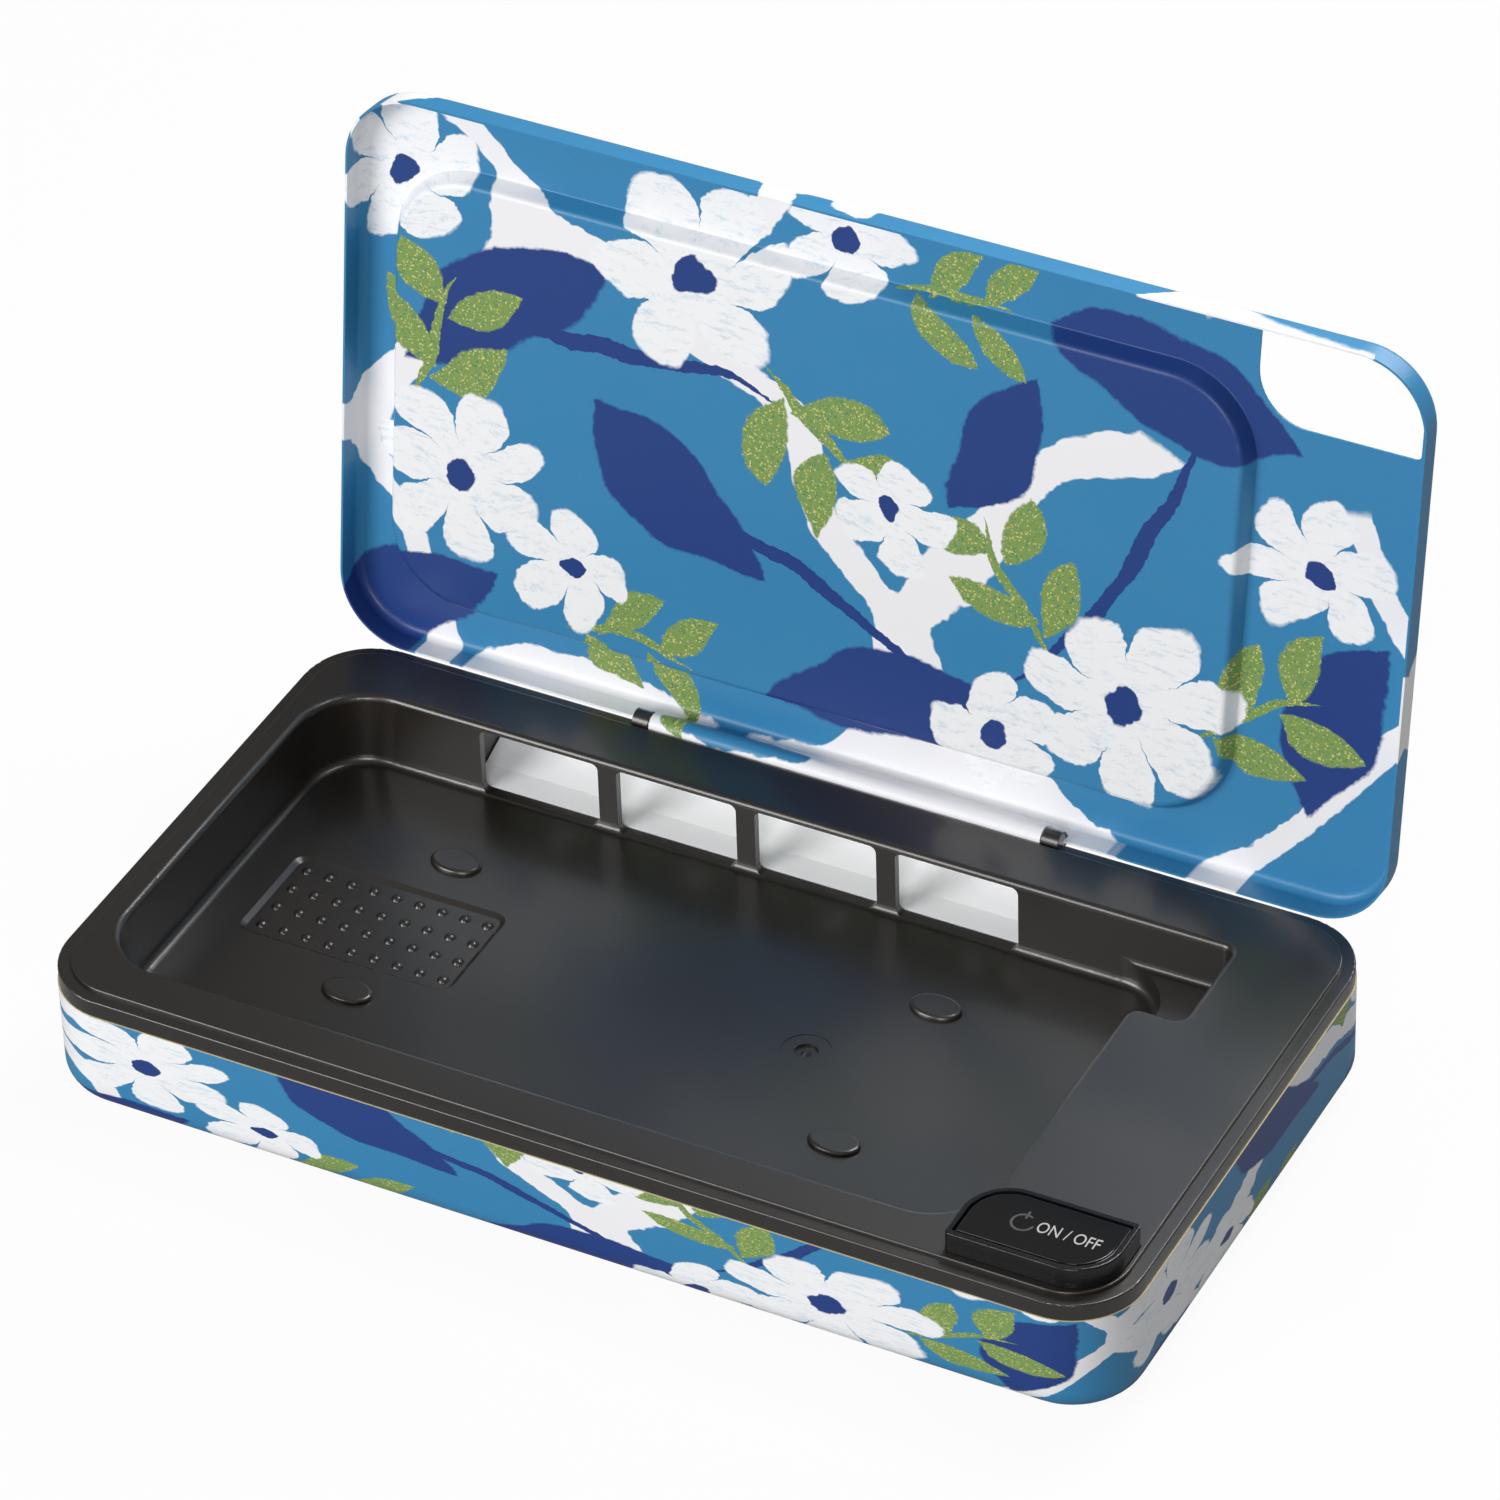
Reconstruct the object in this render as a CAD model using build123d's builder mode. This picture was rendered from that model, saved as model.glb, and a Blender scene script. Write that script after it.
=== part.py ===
"""Ultraviolet sanitizer box for phones: a hinged printed tin with a moulded insert tray.

Millimetres, +Z up. The origin is the centre of the footprint, on the surface that the feet stand on.
+X is the user's right and +Y points to the hinge at the rear. The lid is modelled open.
"""
import os
from math import acos, atan2, cos, degrees, hypot, radians, sin

from build123d import *

os.makedirs("parts", exist_ok=True)


def save(builder, name):
    """Label a finished piece and write it as a STEP file of the same name."""
    builder.part.label = name
    export_step(builder.part, f"parts/{name}.step")


# ---------------------------------------------------------------- driving dimensions

# Tin base and lid, drawn from one gauge of sheet
box_length = 200.0
box_width = 106.9
corner_radius = 13.0
sheet = 0.4
base_height = 20.4
base_edge_radius = 4.5
lid_depth = 6.0
lid_edge_radius = 2.0
open_angle = 98.0

# Panel pressed into the lid from outside, its flat floor measured from the lid's sides
press_depth = 2.9
press_slope = 1.6
press_from_left = 9.0
press_from_right = 33.0
press_from_front = 14.6
press_from_rear = 10.4
press_corner = 14.0
press_bend = 0.8

# Insert tray: rim, ledge and deck
rim_inset = 0.2
rim_height = 3.2
rim_wall = 1.6
rim_edge_radius = 0.3
ledge_width = 2.3
deck_step = 0.7
deck_edge_radius = 0.3
deck_thickness = 2.2
plug_depth = 4.0
plug_gap = 0.15
plug_wall = 1.3
moulded_wall = 1.5

# Phone basin: flat margins round it, and its depth below the deck
left_margin = 6.6
rear_margin = 13.9
front_margin = 10.5
right_margin = 30.2
basin_depth = 14.7
basin_corner = 12.5
basin_floor_corner = 11.0
front_slope = 4.8
basin_floor_fillet = 1.4
basin_edge_fillet = 1.1

# Finger pocket beside the basin
pocket_length = 9.5
pocket_width = 20.8
pocket_depth = 9.9
pocket_corner = 2.2
pocket_cove = 1.0
pocket_meeting_radius = 2.6

# Windows in the basin's rear wall
window_count = 4
window_length = 23.2
window_pitch = 26.8
window_shift_x = -0.85
window_corner = 1.3
window_sill = 0.3

# Details on the basin floor
pad_length = 9.5
pad_width = 6.2
pad_height = 0.9
pad_fillet = 0.7
pad_spacing_x = 92.2
pad_spacing_y = 38.4
pad_shift_x = -1.15
dome_panel_length = 41.4
dome_panel_width = 22.6
dome_panel_depth = 0.6
dome_panel_corner = 2.5
dome_panel_draft = 58.0
dome_panel_from_left = 8.4
dome_panel_shift_y = -0.9
dome_columns = 9
dome_rows = 4
dome_pitch_x = 4.43
dome_pitch_y = 5.3
dome_radius = 1.2
dome_sink = 0.55
dome_shift_x = 0.3
dome_shift_y = 0.05
gate_dish_radius = 4.5
gate_dish_depth = 0.12
gate_radius = 2.1
gate_depth = 0.6
gate_nub_radius = 0.9
gate_nub_height = 0.4
gate_from_centre = 30.1

# Lamp trough behind the windows
trough_end_margin = 3.3
trough_ceiling = 1.2
trough_floor_wall = 1.3
trough_rib = 1.4
reflector_front_gap = 0.4
reflector_lift = 0.3
reflector_flat = 4.8
reflector_flat_rise = 0.3
reflector_slope_rise = 2.2
reflector_top_gap = 0.3
reflector_end_gap = 0.3
lamp_board_length = 104.0
lamp_board_width = 7.4
lamp_board_thickness = 1.0
lamp_board_gap = 0.5
lamp_size = 3.5
lamp_height = 1.4
lamp_lens_radius = 1.4
lamp_lens_height = 0.4

# Hinge
pin_radius = 1.5
pin_running_gap = 0.08
curl_gap = 0.3
curl_wrap = 270.0
tongue_length = 75.0
tongue_bend_height = 3.4
tongue_bend_radius = 1.0
lug_width = 3.0
lug_radius = 2.0
lug_side_gap = 0.3
heel_length = 4.2
heel_thickness = 1.4
stop_gap = 0.08
seat_gap = 0.15

# Button frame, cap and label
button_length = 28.1
button_width = 15.2
button_from_right = 3.4
button_from_front = 3.85
button_height = 4.0
button_round = 8.5
button_tight = 1.0
button_least_tight = 0.3
bezel_wall = 1.0
bezel_skirt_wall = 0.5
bezel_sink = 0.5
bezel_edge_radius = 0.35
cap_gap = 0.2
cap_sink = 0.1
cap_thickness = 2.6
cap_flange = 0.8
cap_flange_gap = 0.05
cap_travel = 0.6
label_thickness = 0.3
label_inset = 0.3
label_edge_radius = 0.2
stem_radius = 1.75
stem_running_gap = 0.08
guide_from_stem = 4.5
guide_radius = 1.2
guide_gap = 0.3
guide_led_gap = 0.9

# Opening in the lid round the button
hole_gap = 0.7
hole_extra_round = 1.0

# Control board and what stands on it
board_thickness = 1.2
board_drop = 6.6
board_length = 22.0
board_edge_gap = 1.7
board_pocket_gap = moulded_wall + 1.2
switch_size = 6.0
switch_height = 3.4
plunger_radius = 1.6
plunger_stand = 1.0
plunger_engagement = 1.2
plunger_running_gap = 0.08
plunger_end_gap = 0.1
led_size = 1.8
led_height = 0.8
chip_size = 7.0
chip_height = 1.2
chip_from_button = 30.0
coil_radius = 4.5
coil_height = 5.0
coil_waist = 1.1
coil_flange = 0.9
coil_from_button = 20.0
capacitor_radius = 3.0
capacitor_height = 7.0
capacitor_pitch = 8.0
capacitor_from_button = 48.0
sensor_radius = 2.0
sensor_gap = 0.3
sensor_from_button = 40.0

# Power inlet in the rear wall
usb_from_right = 20.0
usb_length = 8.9
usb_height = 3.2
usb_depth = 7.3
usb_shell = 0.3
usb_corner = 1.5
usb_tongue_length = 6.6
usb_tongue_height = 0.7
usb_tongue_depth = 5.2
usb_back_wall = 0.8
bezel_sleeve = 0.7
bezel_fit = 0.1
flange_width = 1.5
flange_thickness = 0.8

# Lead between the two boards
lead_radius = 0.9
lead_bend_radius = 2.2
lead_from_board_edge = 7.4
lead_hole_gap = 0.3
socket_length = 5.0
socket_width = 4.5
socket_height = 2.4
socket_grip = 1.0

# Fixings and feet
board_screw_radius = 0.9
board_screw_head = 1.9
board_screw_head_height = 1.2
board_screw_inset = 3.6
board_boss_radius = 2.4
base_screw_radius = 1.2
base_screw_head = 2.4
base_screw_head_height = 1.0
base_boss_radius = 3.2
base_boss_inset_x = 12.0
base_boss_inset_y = 5.6
screw_hole_gap = 0.2
screw_tip_gap = 0.4
screw_slot_depth = 0.5
board_screw_length = 5.8
base_screw_length = 7.4
foot_radius = 5.5
foot_height = 1.5
foot_edge_radius = 0.4
foot_skin = 0.35
foot_head_gap = 0.3
end_foot_inset = 11.0

# ---------------------------------------------------------------- levels and places

tin_floor = foot_height + sheet
tin_top = foot_height + base_height
ledge_top = tin_top + rim_height
deck_top = ledge_top + deck_step
deck_under = deck_top - deck_thickness
floor_top = deck_top - basin_depth
floor_under = floor_top - moulded_wall
shelf_top = deck_top - pocket_depth

half_length = box_length / 2
half_width = box_width / 2
basin_left = -half_length + left_margin
basin_right = half_length - right_margin
basin_front = -half_width + front_margin
basin_rear = half_width - rear_margin
floor_front = basin_front + front_slope
basin_cx = (basin_left + basin_right) / 2
basin_cy = (basin_front + basin_rear) / 2
floor_cy = (floor_front + basin_rear) / 2
pocket_right = basin_right + pocket_length
pocket_front = basin_rear - pocket_width

hinge_y = half_width
hinge_z = ledge_top + seat_gap
curl_inner = pin_radius + pin_running_gap
curl_outer = curl_inner + sheet
lug_inner_x = tongue_length / 2 + lug_side_gap
lug_outer_x = lug_inner_x + lug_width

# The open lid's own plane. Its origin is on the hinge axis, its Z is the lid's outward normal
# and its -Y runs from the hinge to the lid's front edge.
swing = radians(open_angle)
lid_plane = Plane(origin=(0, hinge_y, hinge_z), x_dir=(1, 0, 0), z_dir=(0, sin(swing), cos(swing)))

button_x = half_length - button_from_right - button_length / 2
button_y = -half_width + button_from_front + button_width / 2
guide_x = button_x - guide_from_stem

board_top = deck_under - board_drop
board_under = board_top - board_thickness
board_inset = sheet + plug_gap + plug_wall + board_edge_gap
board_right = half_length - board_inset
board_left = board_right - board_length

dome_panel_x = basin_left + dome_panel_from_left + dome_panel_length / 2
dome_panel_y = floor_cy + dome_panel_shift_y
dome_panel_floor = floor_top - dome_panel_depth

switch_top = board_top + switch_height
stem_bottom = switch_top + plunger_stand
bezel_top = deck_top + button_height
cap_top = bezel_top - cap_sink - label_thickness
cap_bottom = cap_top - cap_thickness
lip_under = cap_bottom + cap_flange + cap_flange_gap
guide_bottom = board_top + led_height + guide_led_gap
coil_x = (board_left + board_right) / 2
coil_y = button_y + coil_from_button
board_socket_x = board_right - lead_from_board_edge

trough_cx = basin_cx + window_shift_x
window_centres = [trough_cx + (i - (window_count - 1) / 2) * window_pitch for i in range(window_count)]
window_bottom = floor_top + window_sill
window_top = deck_top - trough_ceiling
window_height = window_top - window_bottom
trough_length = (window_count - 1) * window_pitch + window_length + 2 * trough_end_margin
trough_right = trough_cx + trough_length / 2
trough_front = basin_rear + moulded_wall
trough_rear = half_width - sheet - plug_gap
notch_radius = curl_outer + curl_gap
lamp_recess_width = hinge_y - notch_radius - trough_ceiling - trough_front
lamp_board_rear = trough_front + lamp_recess_width - lamp_board_gap
lamp_y = lamp_board_rear - lamp_board_width / 2
lamp_board_under = window_top - lamp_board_thickness

lead_y = lamp_y
lead_z = lamp_board_under - socket_height / 2

usb_x = half_length - usb_from_right
usb_z = board_top + usb_height / 2

base_boss_x = (basin_left + base_boss_inset_x, basin_right - base_boss_inset_x)
base_boss_y = (floor_front + base_boss_inset_y, basin_rear - base_boss_inset_y)
base_boss_places = [(x, y) for x in base_boss_x for y in base_boss_y]
loose_foot_places = [(half_length - end_foot_inset, y) for y in base_boss_y] + [(0, 0)]
board_boss_places = [
    (board_left + board_screw_inset, button_y + button_width),
    (board_right - board_screw_inset, button_y + button_width),
    (board_left + board_screw_inset, pocket_front - board_pocket_gap - board_screw_inset),
    (board_right - board_screw_inset, basin_rear - base_boss_inset_y),
]


def box_outline(inset):
    """Rounded outline that follows the tin's side walls at a constant inset."""
    RectangleRounded(box_length - 2 * inset, box_width - 2 * inset, corner_radius - inset)


def button_outline(middle_y, inset, round_radius, tight_radius):
    """Outline of the button at an inset: two tight corners, two large ones (front right, rear left)."""
    half_x = button_length / 2 - inset
    half_y = button_width / 2 - inset
    with BuildLine() as outline:
        FilletPolyline(
            (button_x - half_x, middle_y - half_y),
            (button_x + half_x, middle_y - half_y),
            (button_x + half_x, middle_y + half_y),
            (button_x - half_x, middle_y + half_y),
            radius=[tight_radius, round_radius, tight_radius, round_radius],
            close=True,
        )
    make_face(outline.edges())


def button_inset(inset):
    """The button's outline, every corner keeping the same centre as the outline shrinks."""
    button_outline(button_y, inset, button_round - inset, max(button_tight - inset, button_least_tight))


# ---------------------------------------------------------------- tin base

usb_hole_length = usb_length + 2 * bezel_sleeve
usb_hole_height = usb_height + 2 * bezel_sleeve
usb_hole_corner = usb_corner + bezel_sleeve

with BuildPart() as tin_base:
    with BuildSketch(Plane.XY.offset(foot_height)):
        box_outline(0)
    extrude(amount=base_height)
    fillet(tin_base.faces().sort_by(Axis.Z)[0].edges(), base_edge_radius)
    offset(amount=-sheet, openings=tin_base.faces().sort_by(Axis.Z)[-1])
    with BuildSketch(Plane.XY.offset(foot_height)):
        with Locations(*base_boss_places):
            Circle(base_screw_radius + screw_hole_gap)
    extrude(amount=sheet, mode=Mode.SUBTRACT)
    with BuildSketch(Plane.XZ.offset(-half_width)):
        with Locations((usb_x, usb_z)):
            RectangleRounded(usb_hole_length, usb_hole_height, usb_hole_corner)
    extrude(amount=sheet, mode=Mode.SUBTRACT)
save(tin_base, "tin_base")

# ---------------------------------------------------------------- insert tray

# The space of the basin and of its finger pocket, taken out of the tray further down
with BuildPart() as basin_space:
    with BuildSketch(Plane.XY.offset(deck_top)):
        with Locations((basin_cx, basin_cy)):
            RectangleRounded(basin_right - basin_left, basin_rear - basin_front, basin_corner)
    with BuildSketch(Plane.XY.offset(floor_top)):
        with Locations((basin_cx, floor_cy)):
            RectangleRounded(basin_right - basin_left, basin_rear - floor_front, basin_floor_corner)
    loft(ruled=True)
    fillet(basin_space.faces().sort_by(Axis.Z)[0].edges(), basin_floor_fillet)

with BuildPart() as pocket_space:
    with BuildSketch(Plane.XY.offset(shelf_top)):
        with Locations((pocket_right, basin_rear)):
            Rectangle(pocket_length + basin_corner, pocket_width, align=(Align.MAX, Align.MAX))
        with Locations((basin_right, pocket_front)):
            Rectangle(pocket_meeting_radius, pocket_meeting_radius, align=(Align.MIN, Align.MAX))
        with Locations((basin_right + pocket_meeting_radius, pocket_front - pocket_meeting_radius)):
            Circle(pocket_meeting_radius, mode=Mode.SUBTRACT)
    extrude(amount=pocket_depth)
    fillet(pocket_space.edges().filter_by(Axis.Z).group_by(Axis.X)[-1], pocket_corner)
    shelf_edges = pocket_space.faces().sort_by(Axis.Z)[0].edges()
    fillet(shelf_edges.filter_by(Axis.X).sort_by(Axis.Y)[-1], pocket_cove)

# Outside of the basin: the same form, one wall thicker
with BuildPart() as basin_body:
    with BuildSketch(Plane.XY.offset(deck_under)):
        with Locations((basin_cx, basin_cy)):
            RectangleRounded(
                basin_right - basin_left + 2 * moulded_wall,
                basin_rear - basin_front + 2 * moulded_wall,
                basin_corner + moulded_wall,
            )
    with BuildSketch(Plane.XY.offset(floor_under)):
        with Locations((basin_cx, floor_cy)):
            RectangleRounded(
                basin_right - basin_left + 2 * moulded_wall,
                basin_rear - floor_front + 2 * moulded_wall,
                basin_floor_corner + moulded_wall,
            )
    loft(ruled=True)
    fillet(basin_body.faces().sort_by(Axis.Z)[0].edges(), basin_floor_fillet)

# Section of the reflector and of the trough floor that carries it, in Y and Z
reflector_y0 = trough_front + reflector_front_gap
reflector_z0 = floor_top + reflector_lift
reflector_y1 = reflector_y0 + reflector_flat
reflector_z1 = reflector_z0 + reflector_flat_rise
reflector_y2 = trough_rear - sheet
reflector_z2 = reflector_z1 + reflector_slope_rise
reflector_top = tin_top - reflector_top_gap
reflector_section = [
    (reflector_y0, reflector_z0),
    (reflector_y1, reflector_z1),
    (reflector_y2, reflector_z2),
]
trough_plane = Plane(origin=(trough_cx, 0, 0), x_dir=(0, 1, 0), z_dir=(1, 0, 0))

with BuildPart() as insert_tray:
    # Deck, ledge, rim wall and the plug wall that enters the tin
    with BuildSketch(Plane.XY.offset(ledge_top)):
        box_outline(rim_inset + ledge_width)
    extrude(amount=deck_step)
    fillet(insert_tray.faces().sort_by(Axis.Z)[-1].edges(), deck_edge_radius)
    with BuildSketch(Plane.XY.offset(deck_under)):
        box_outline(rim_inset)
    extrude(amount=ledge_top - deck_under)
    ledge_face = insert_tray.faces().filter_by_position(Axis.Z, ledge_top - 0.01, ledge_top + 0.01)[0]
    fillet(ledge_face.outer_wire().edges(), rim_edge_radius)
    with BuildSketch(Plane.XY.offset(tin_top)):
        box_outline(rim_inset)
        offset(amount=-rim_wall, mode=Mode.SUBTRACT)
    extrude(amount=deck_under - tin_top)
    with BuildSketch(Plane.XY.offset(tin_top - plug_depth)):
        box_outline(sheet + plug_gap)
        offset(amount=-plug_wall, mode=Mode.SUBTRACT)
    extrude(amount=deck_under - tin_top + plug_depth)

    # Basin and finger pocket
    add(basin_body.part)
    with BuildSketch(Plane.XY.offset(shelf_top - moulded_wall)):
        with Locations((pocket_right + moulded_wall, basin_rear + moulded_wall)):
            Rectangle(
                pocket_length + basin_corner,
                pocket_width + 2 * moulded_wall,
                align=(Align.MAX, Align.MAX),
            )
    extrude(amount=deck_under - shelf_top + moulded_wall)

    # Lamp trough: sloping floor and two end ribs
    with BuildSketch(trough_plane):
        with BuildLine():
            Polyline(
                (trough_front - moulded_wall, floor_under),
                (reflector_y1, floor_under),
                (trough_rear, reflector_z2 - sheet - trough_floor_wall),
                (trough_rear, reflector_z2 - sheet),
                (reflector_y1, reflector_z1 - sheet),
                (reflector_y0, reflector_z0 - sheet),
                (trough_front - moulded_wall, reflector_z0 - sheet),
                close=True,
            )
        make_face()
    extrude(amount=trough_length / 2 + trough_rib, both=True)
    with BuildSketch(Plane.XY.offset(floor_under)):
        with Locations((trough_cx, (trough_front - moulded_wall + trough_rear) / 2)):
            with GridLocations(trough_length + trough_rib, 0, 2, 1):
                Rectangle(trough_rib, trough_rear - trough_front + moulded_wall)
    extrude(amount=deck_under - floor_under)

    # Bosses for the base screws and for the control board
    with BuildSketch(Plane.XY.offset(tin_floor)):
        with Locations(*base_boss_places):
            Circle(base_boss_radius)
    extrude(amount=floor_under - tin_floor)
    with BuildSketch(Plane.XY.offset(board_top)):
        with Locations(*board_boss_places):
            Circle(board_boss_radius)
    extrude(amount=board_drop)

    # Spaces of the basin and the pocket, with a rounded top edge
    add(basin_space.part, mode=Mode.SUBTRACT)
    add(pocket_space.part, mode=Mode.SUBTRACT)
    deck_face = insert_tray.faces().filter_by_position(Axis.Z, deck_top - 0.01, deck_top + 0.01)[0]
    fillet(deck_face.inner_wires()[0].edges(), basin_edge_fillet)

    # Windows into the lamp trough, and the recess over it for the lamp board
    with BuildSketch(Plane.XZ.offset(-trough_front)):
        for window_x in window_centres:
            with Locations((window_x, (window_bottom + window_top) / 2)):
                RectangleRounded(window_length, window_height, window_corner)
    extrude(amount=2 * moulded_wall, mode=Mode.SUBTRACT)
    with BuildSketch(Plane.XY.offset(deck_under)):
        with Locations((trough_cx, trough_front)):
            Rectangle(trough_length, lamp_recess_width, align=(Align.CENTER, Align.MIN))
    extrude(amount=window_top - deck_under, mode=Mode.SUBTRACT)
    with BuildSketch(Plane.XY.offset(tin_top)):
        with Locations((trough_cx, trough_rear)):
            Rectangle(trough_length, plug_wall, align=(Align.CENTER, Align.MAX))
    extrude(amount=-plug_depth, mode=Mode.SUBTRACT)

    # Panel of domes, rest pads and gate mark on the basin floor
    with BuildSketch(Plane.XY.offset(floor_top)):
        with Locations((dome_panel_x, dome_panel_y)):
            RectangleRounded(dome_panel_length, dome_panel_width, dome_panel_corner)
    extrude(amount=-dome_panel_depth, taper=dome_panel_draft, mode=Mode.SUBTRACT)
    with Locations((dome_panel_x + dome_shift_x, dome_panel_y + dome_shift_y, dome_panel_floor - dome_sink)):
        with GridLocations(dome_pitch_x, dome_pitch_y, dome_columns, dome_rows):
            Sphere(dome_radius, arc_size1=0, align=(Align.CENTER, Align.CENTER, Align.MIN))
    with BuildSketch(Plane.XY.offset(floor_top)):
        with Locations((basin_cx + pad_shift_x, floor_cy)):
            with GridLocations(pad_spacing_x, pad_spacing_y, 2, 2):
                Ellipse(pad_length / 2, pad_width / 2)
    extrude(amount=pad_height)
    fillet(insert_tray.edges(Select.LAST).group_by(Axis.Z)[-1], pad_fillet)
    with Locations((basin_cx + gate_from_centre, floor_cy, floor_top)):
        Cylinder(gate_dish_radius, 2 * gate_dish_depth, mode=Mode.SUBTRACT)
        Cylinder(gate_radius, 2 * gate_depth, mode=Mode.SUBTRACT)
    with Locations((basin_cx + gate_from_centre, floor_cy, floor_top - gate_depth)):
        Cone(gate_nub_radius, gate_nub_radius / 2, gate_nub_height, align=(Align.CENTER, Align.CENTER, Align.MIN))

    # Seat of the button frame, and bores for the stem and the light guide
    with BuildSketch(Plane.XY.offset(deck_top)):
        button_inset(-bezel_fit)
    extrude(amount=-bezel_sink, mode=Mode.SUBTRACT)
    with BuildSketch(Plane.XY.offset(deck_top)):
        with Locations((button_x, button_y)):
            Circle(stem_radius + stem_running_gap)
        with Locations((guide_x, button_y)):
            Circle(guide_radius + guide_gap)
    extrude(amount=-deck_thickness, mode=Mode.SUBTRACT)

    # Lugs that hold the hinge wire, each with a heel that stops the open lid
    for lug_x in (-lug_outer_x, lug_inner_x):
        with BuildSketch(Plane(origin=(lug_x, hinge_y, hinge_z), x_dir=(0, 1, 0), z_dir=(1, 0, 0))):
            Circle(lug_radius)
            with Locations((-lug_radius, 0)):
                Rectangle(lug_radius - rim_inset, hinge_z - tin_top, align=(Align.MIN, Align.MAX))
        extrude(amount=lug_width)
        with BuildSketch(Plane(origin=(lug_x, hinge_y, hinge_z), x_dir=lid_plane.y_dir, z_dir=(1, 0, 0))):
            with Locations((stop_gap, 0)):
                Rectangle(heel_thickness, heel_length, align=(Align.MIN, Align.MIN))
        extrude(amount=lug_width)
    with BuildSketch(Plane(origin=(0, hinge_y, hinge_z), x_dir=(0, 1, 0), z_dir=(1, 0, 0))):
        Circle(notch_radius)
    extrude(amount=lug_inner_x, both=True, mode=Mode.SUBTRACT)
    with BuildSketch(Plane(origin=(0, hinge_y, hinge_z), x_dir=(0, 1, 0), z_dir=(1, 0, 0))):
        Circle(pin_radius)
    extrude(amount=lug_outer_x, both=True, mode=Mode.SUBTRACT)

    # Pilot holes in the bosses, gap for the power inlet, hole for the lead
    with BuildSketch(Plane.XY.offset(tin_floor)):
        with Locations(*base_boss_places):
            Circle(base_screw_radius)
    extrude(amount=base_screw_length, mode=Mode.SUBTRACT)
    with BuildSketch(Plane.XY.offset(board_top)):
        with Locations(*board_boss_places):
            Circle(board_screw_radius)
    extrude(amount=board_screw_length, mode=Mode.SUBTRACT)
    with BuildSketch(Plane.XZ.offset(-trough_rear)):
        with Locations((usb_x, usb_z)):
            Rectangle(usb_hole_length, 2 * usb_hole_height)
    extrude(amount=plug_wall, mode=Mode.SUBTRACT)
    with BuildSketch(Plane.YZ.offset(trough_right)):
        with Locations((lead_y, lead_z)):
            Circle(lead_radius + lead_hole_gap)
    extrude(amount=trough_rib, mode=Mode.SUBTRACT)
save(insert_tray, "insert_tray")

# ---------------------------------------------------------------- lid

lid_up = Axis((0, hinge_y, hinge_z), (0, sin(swing), cos(swing)))
press_left = -half_length + press_from_left
press_right = half_length - press_from_right
press_front = -box_width + press_from_front
press_rear = -press_from_rear
press_centre = ((press_left + press_right) / 2, (press_front + press_rear) / 2)
press_length = press_right - press_left
press_width = press_rear - press_front

# Section of the tongue: down the skirt, a bend, then round the hinge wire
roll_radius = curl_inner + sheet / 2
bend_y = -sheet / 2
bend_distance = hypot(bend_y, tongue_bend_height)
roll_start = degrees(atan2(tongue_bend_height, bend_y) + acos(roll_radius / bend_distance))
roll_point = (roll_radius * cos(radians(roll_start)), roll_radius * sin(radians(roll_start)))

with BuildPart() as lid:
    with BuildSketch(lid_plane):
        with Locations((0, -half_width)):
            box_outline(0)
    extrude(amount=lid_depth)
    fillet(lid.faces().sort_by(lid_up)[-1].edges(), lid_edge_radius)
    with BuildSketch(lid_plane.offset(lid_depth)):
        with Locations(press_centre):
            RectangleRounded(
                press_length + 2 * press_slope,
                press_width + 2 * press_slope,
                press_corner + press_slope,
            )
    with BuildSketch(lid_plane.offset(lid_depth - press_depth)):
        with Locations(press_centre):
            RectangleRounded(press_length, press_width, press_corner)
    loft(ruled=True, mode=Mode.SUBTRACT)
    press_floor = lid.faces().filter_by(lid_plane).sort_by(lid_up)[-2]
    fillet(press_floor.edges(), press_bend)
    outer_panel = lid.faces().filter_by(lid_plane).sort_by(lid_up)[-1]
    fillet(outer_panel.inner_wires()[0].edges(), press_bend)
    offset(amount=-sheet, openings=lid.faces().sort_by(lid_up)[0])

    # Opening round the button
    with BuildSketch(lid_plane):
        button_outline(button_y - hinge_y, -hole_gap, button_round + hole_extra_round, button_tight)
    extrude(amount=lid_depth, mode=Mode.SUBTRACT)

    # Relief in the rear skirt: for the lugs, and where the tongue takes over
    with BuildSketch(lid_plane):
        Rectangle(2 * (lug_outer_x + lug_side_gap), 4 * sheet)
    extrude(amount=lug_radius + curl_gap, mode=Mode.SUBTRACT)
    with BuildSketch(lid_plane):
        Rectangle(tongue_length, 4 * sheet)
    extrude(amount=tongue_bend_height + tongue_bend_radius, mode=Mode.SUBTRACT)

    # Tongue curled round the wire
    with BuildSketch(Plane(origin=(0, hinge_y, hinge_z), x_dir=lid_plane.y_dir, z_dir=(1, 0, 0))):
        with BuildLine():
            FilletPolyline(
                (bend_y, tongue_bend_height + tongue_bend_radius),
                (bend_y, tongue_bend_height),
                roll_point,
                radius=tongue_bend_radius,
            )
            CenterArc((0, 0), roll_radius, roll_start, curl_wrap)
        trace(line_width=sheet)
    extrude(amount=tongue_length / 2, both=True)
save(lid, "lid")

# ---------------------------------------------------------------- hinge wire

with BuildPart() as hinge_pin:
    with BuildSketch(Plane(origin=(0, hinge_y, hinge_z), x_dir=(0, 1, 0), z_dir=(1, 0, 0))):
        Circle(pin_radius)
    extrude(amount=lug_outer_x, both=True)
    fillet(hinge_pin.edges(), stop_gap)
save(hinge_pin, "hinge_pin")

# ---------------------------------------------------------------- reflector

with BuildPart() as reflector:
    with BuildSketch(trough_plane):
        with BuildLine():
            Polyline(
                *reflector_section,
                (reflector_y2, reflector_top),
                (reflector_y2 + sheet, reflector_top),
                (reflector_y2 + sheet, reflector_z2 - sheet),
                (reflector_y1, reflector_z1 - sheet),
                (reflector_y0, reflector_z0 - sheet),
                close=True,
            )
        make_face()
    extrude(amount=trough_length / 2 - reflector_end_gap, both=True)
save(reflector, "reflector")

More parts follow.
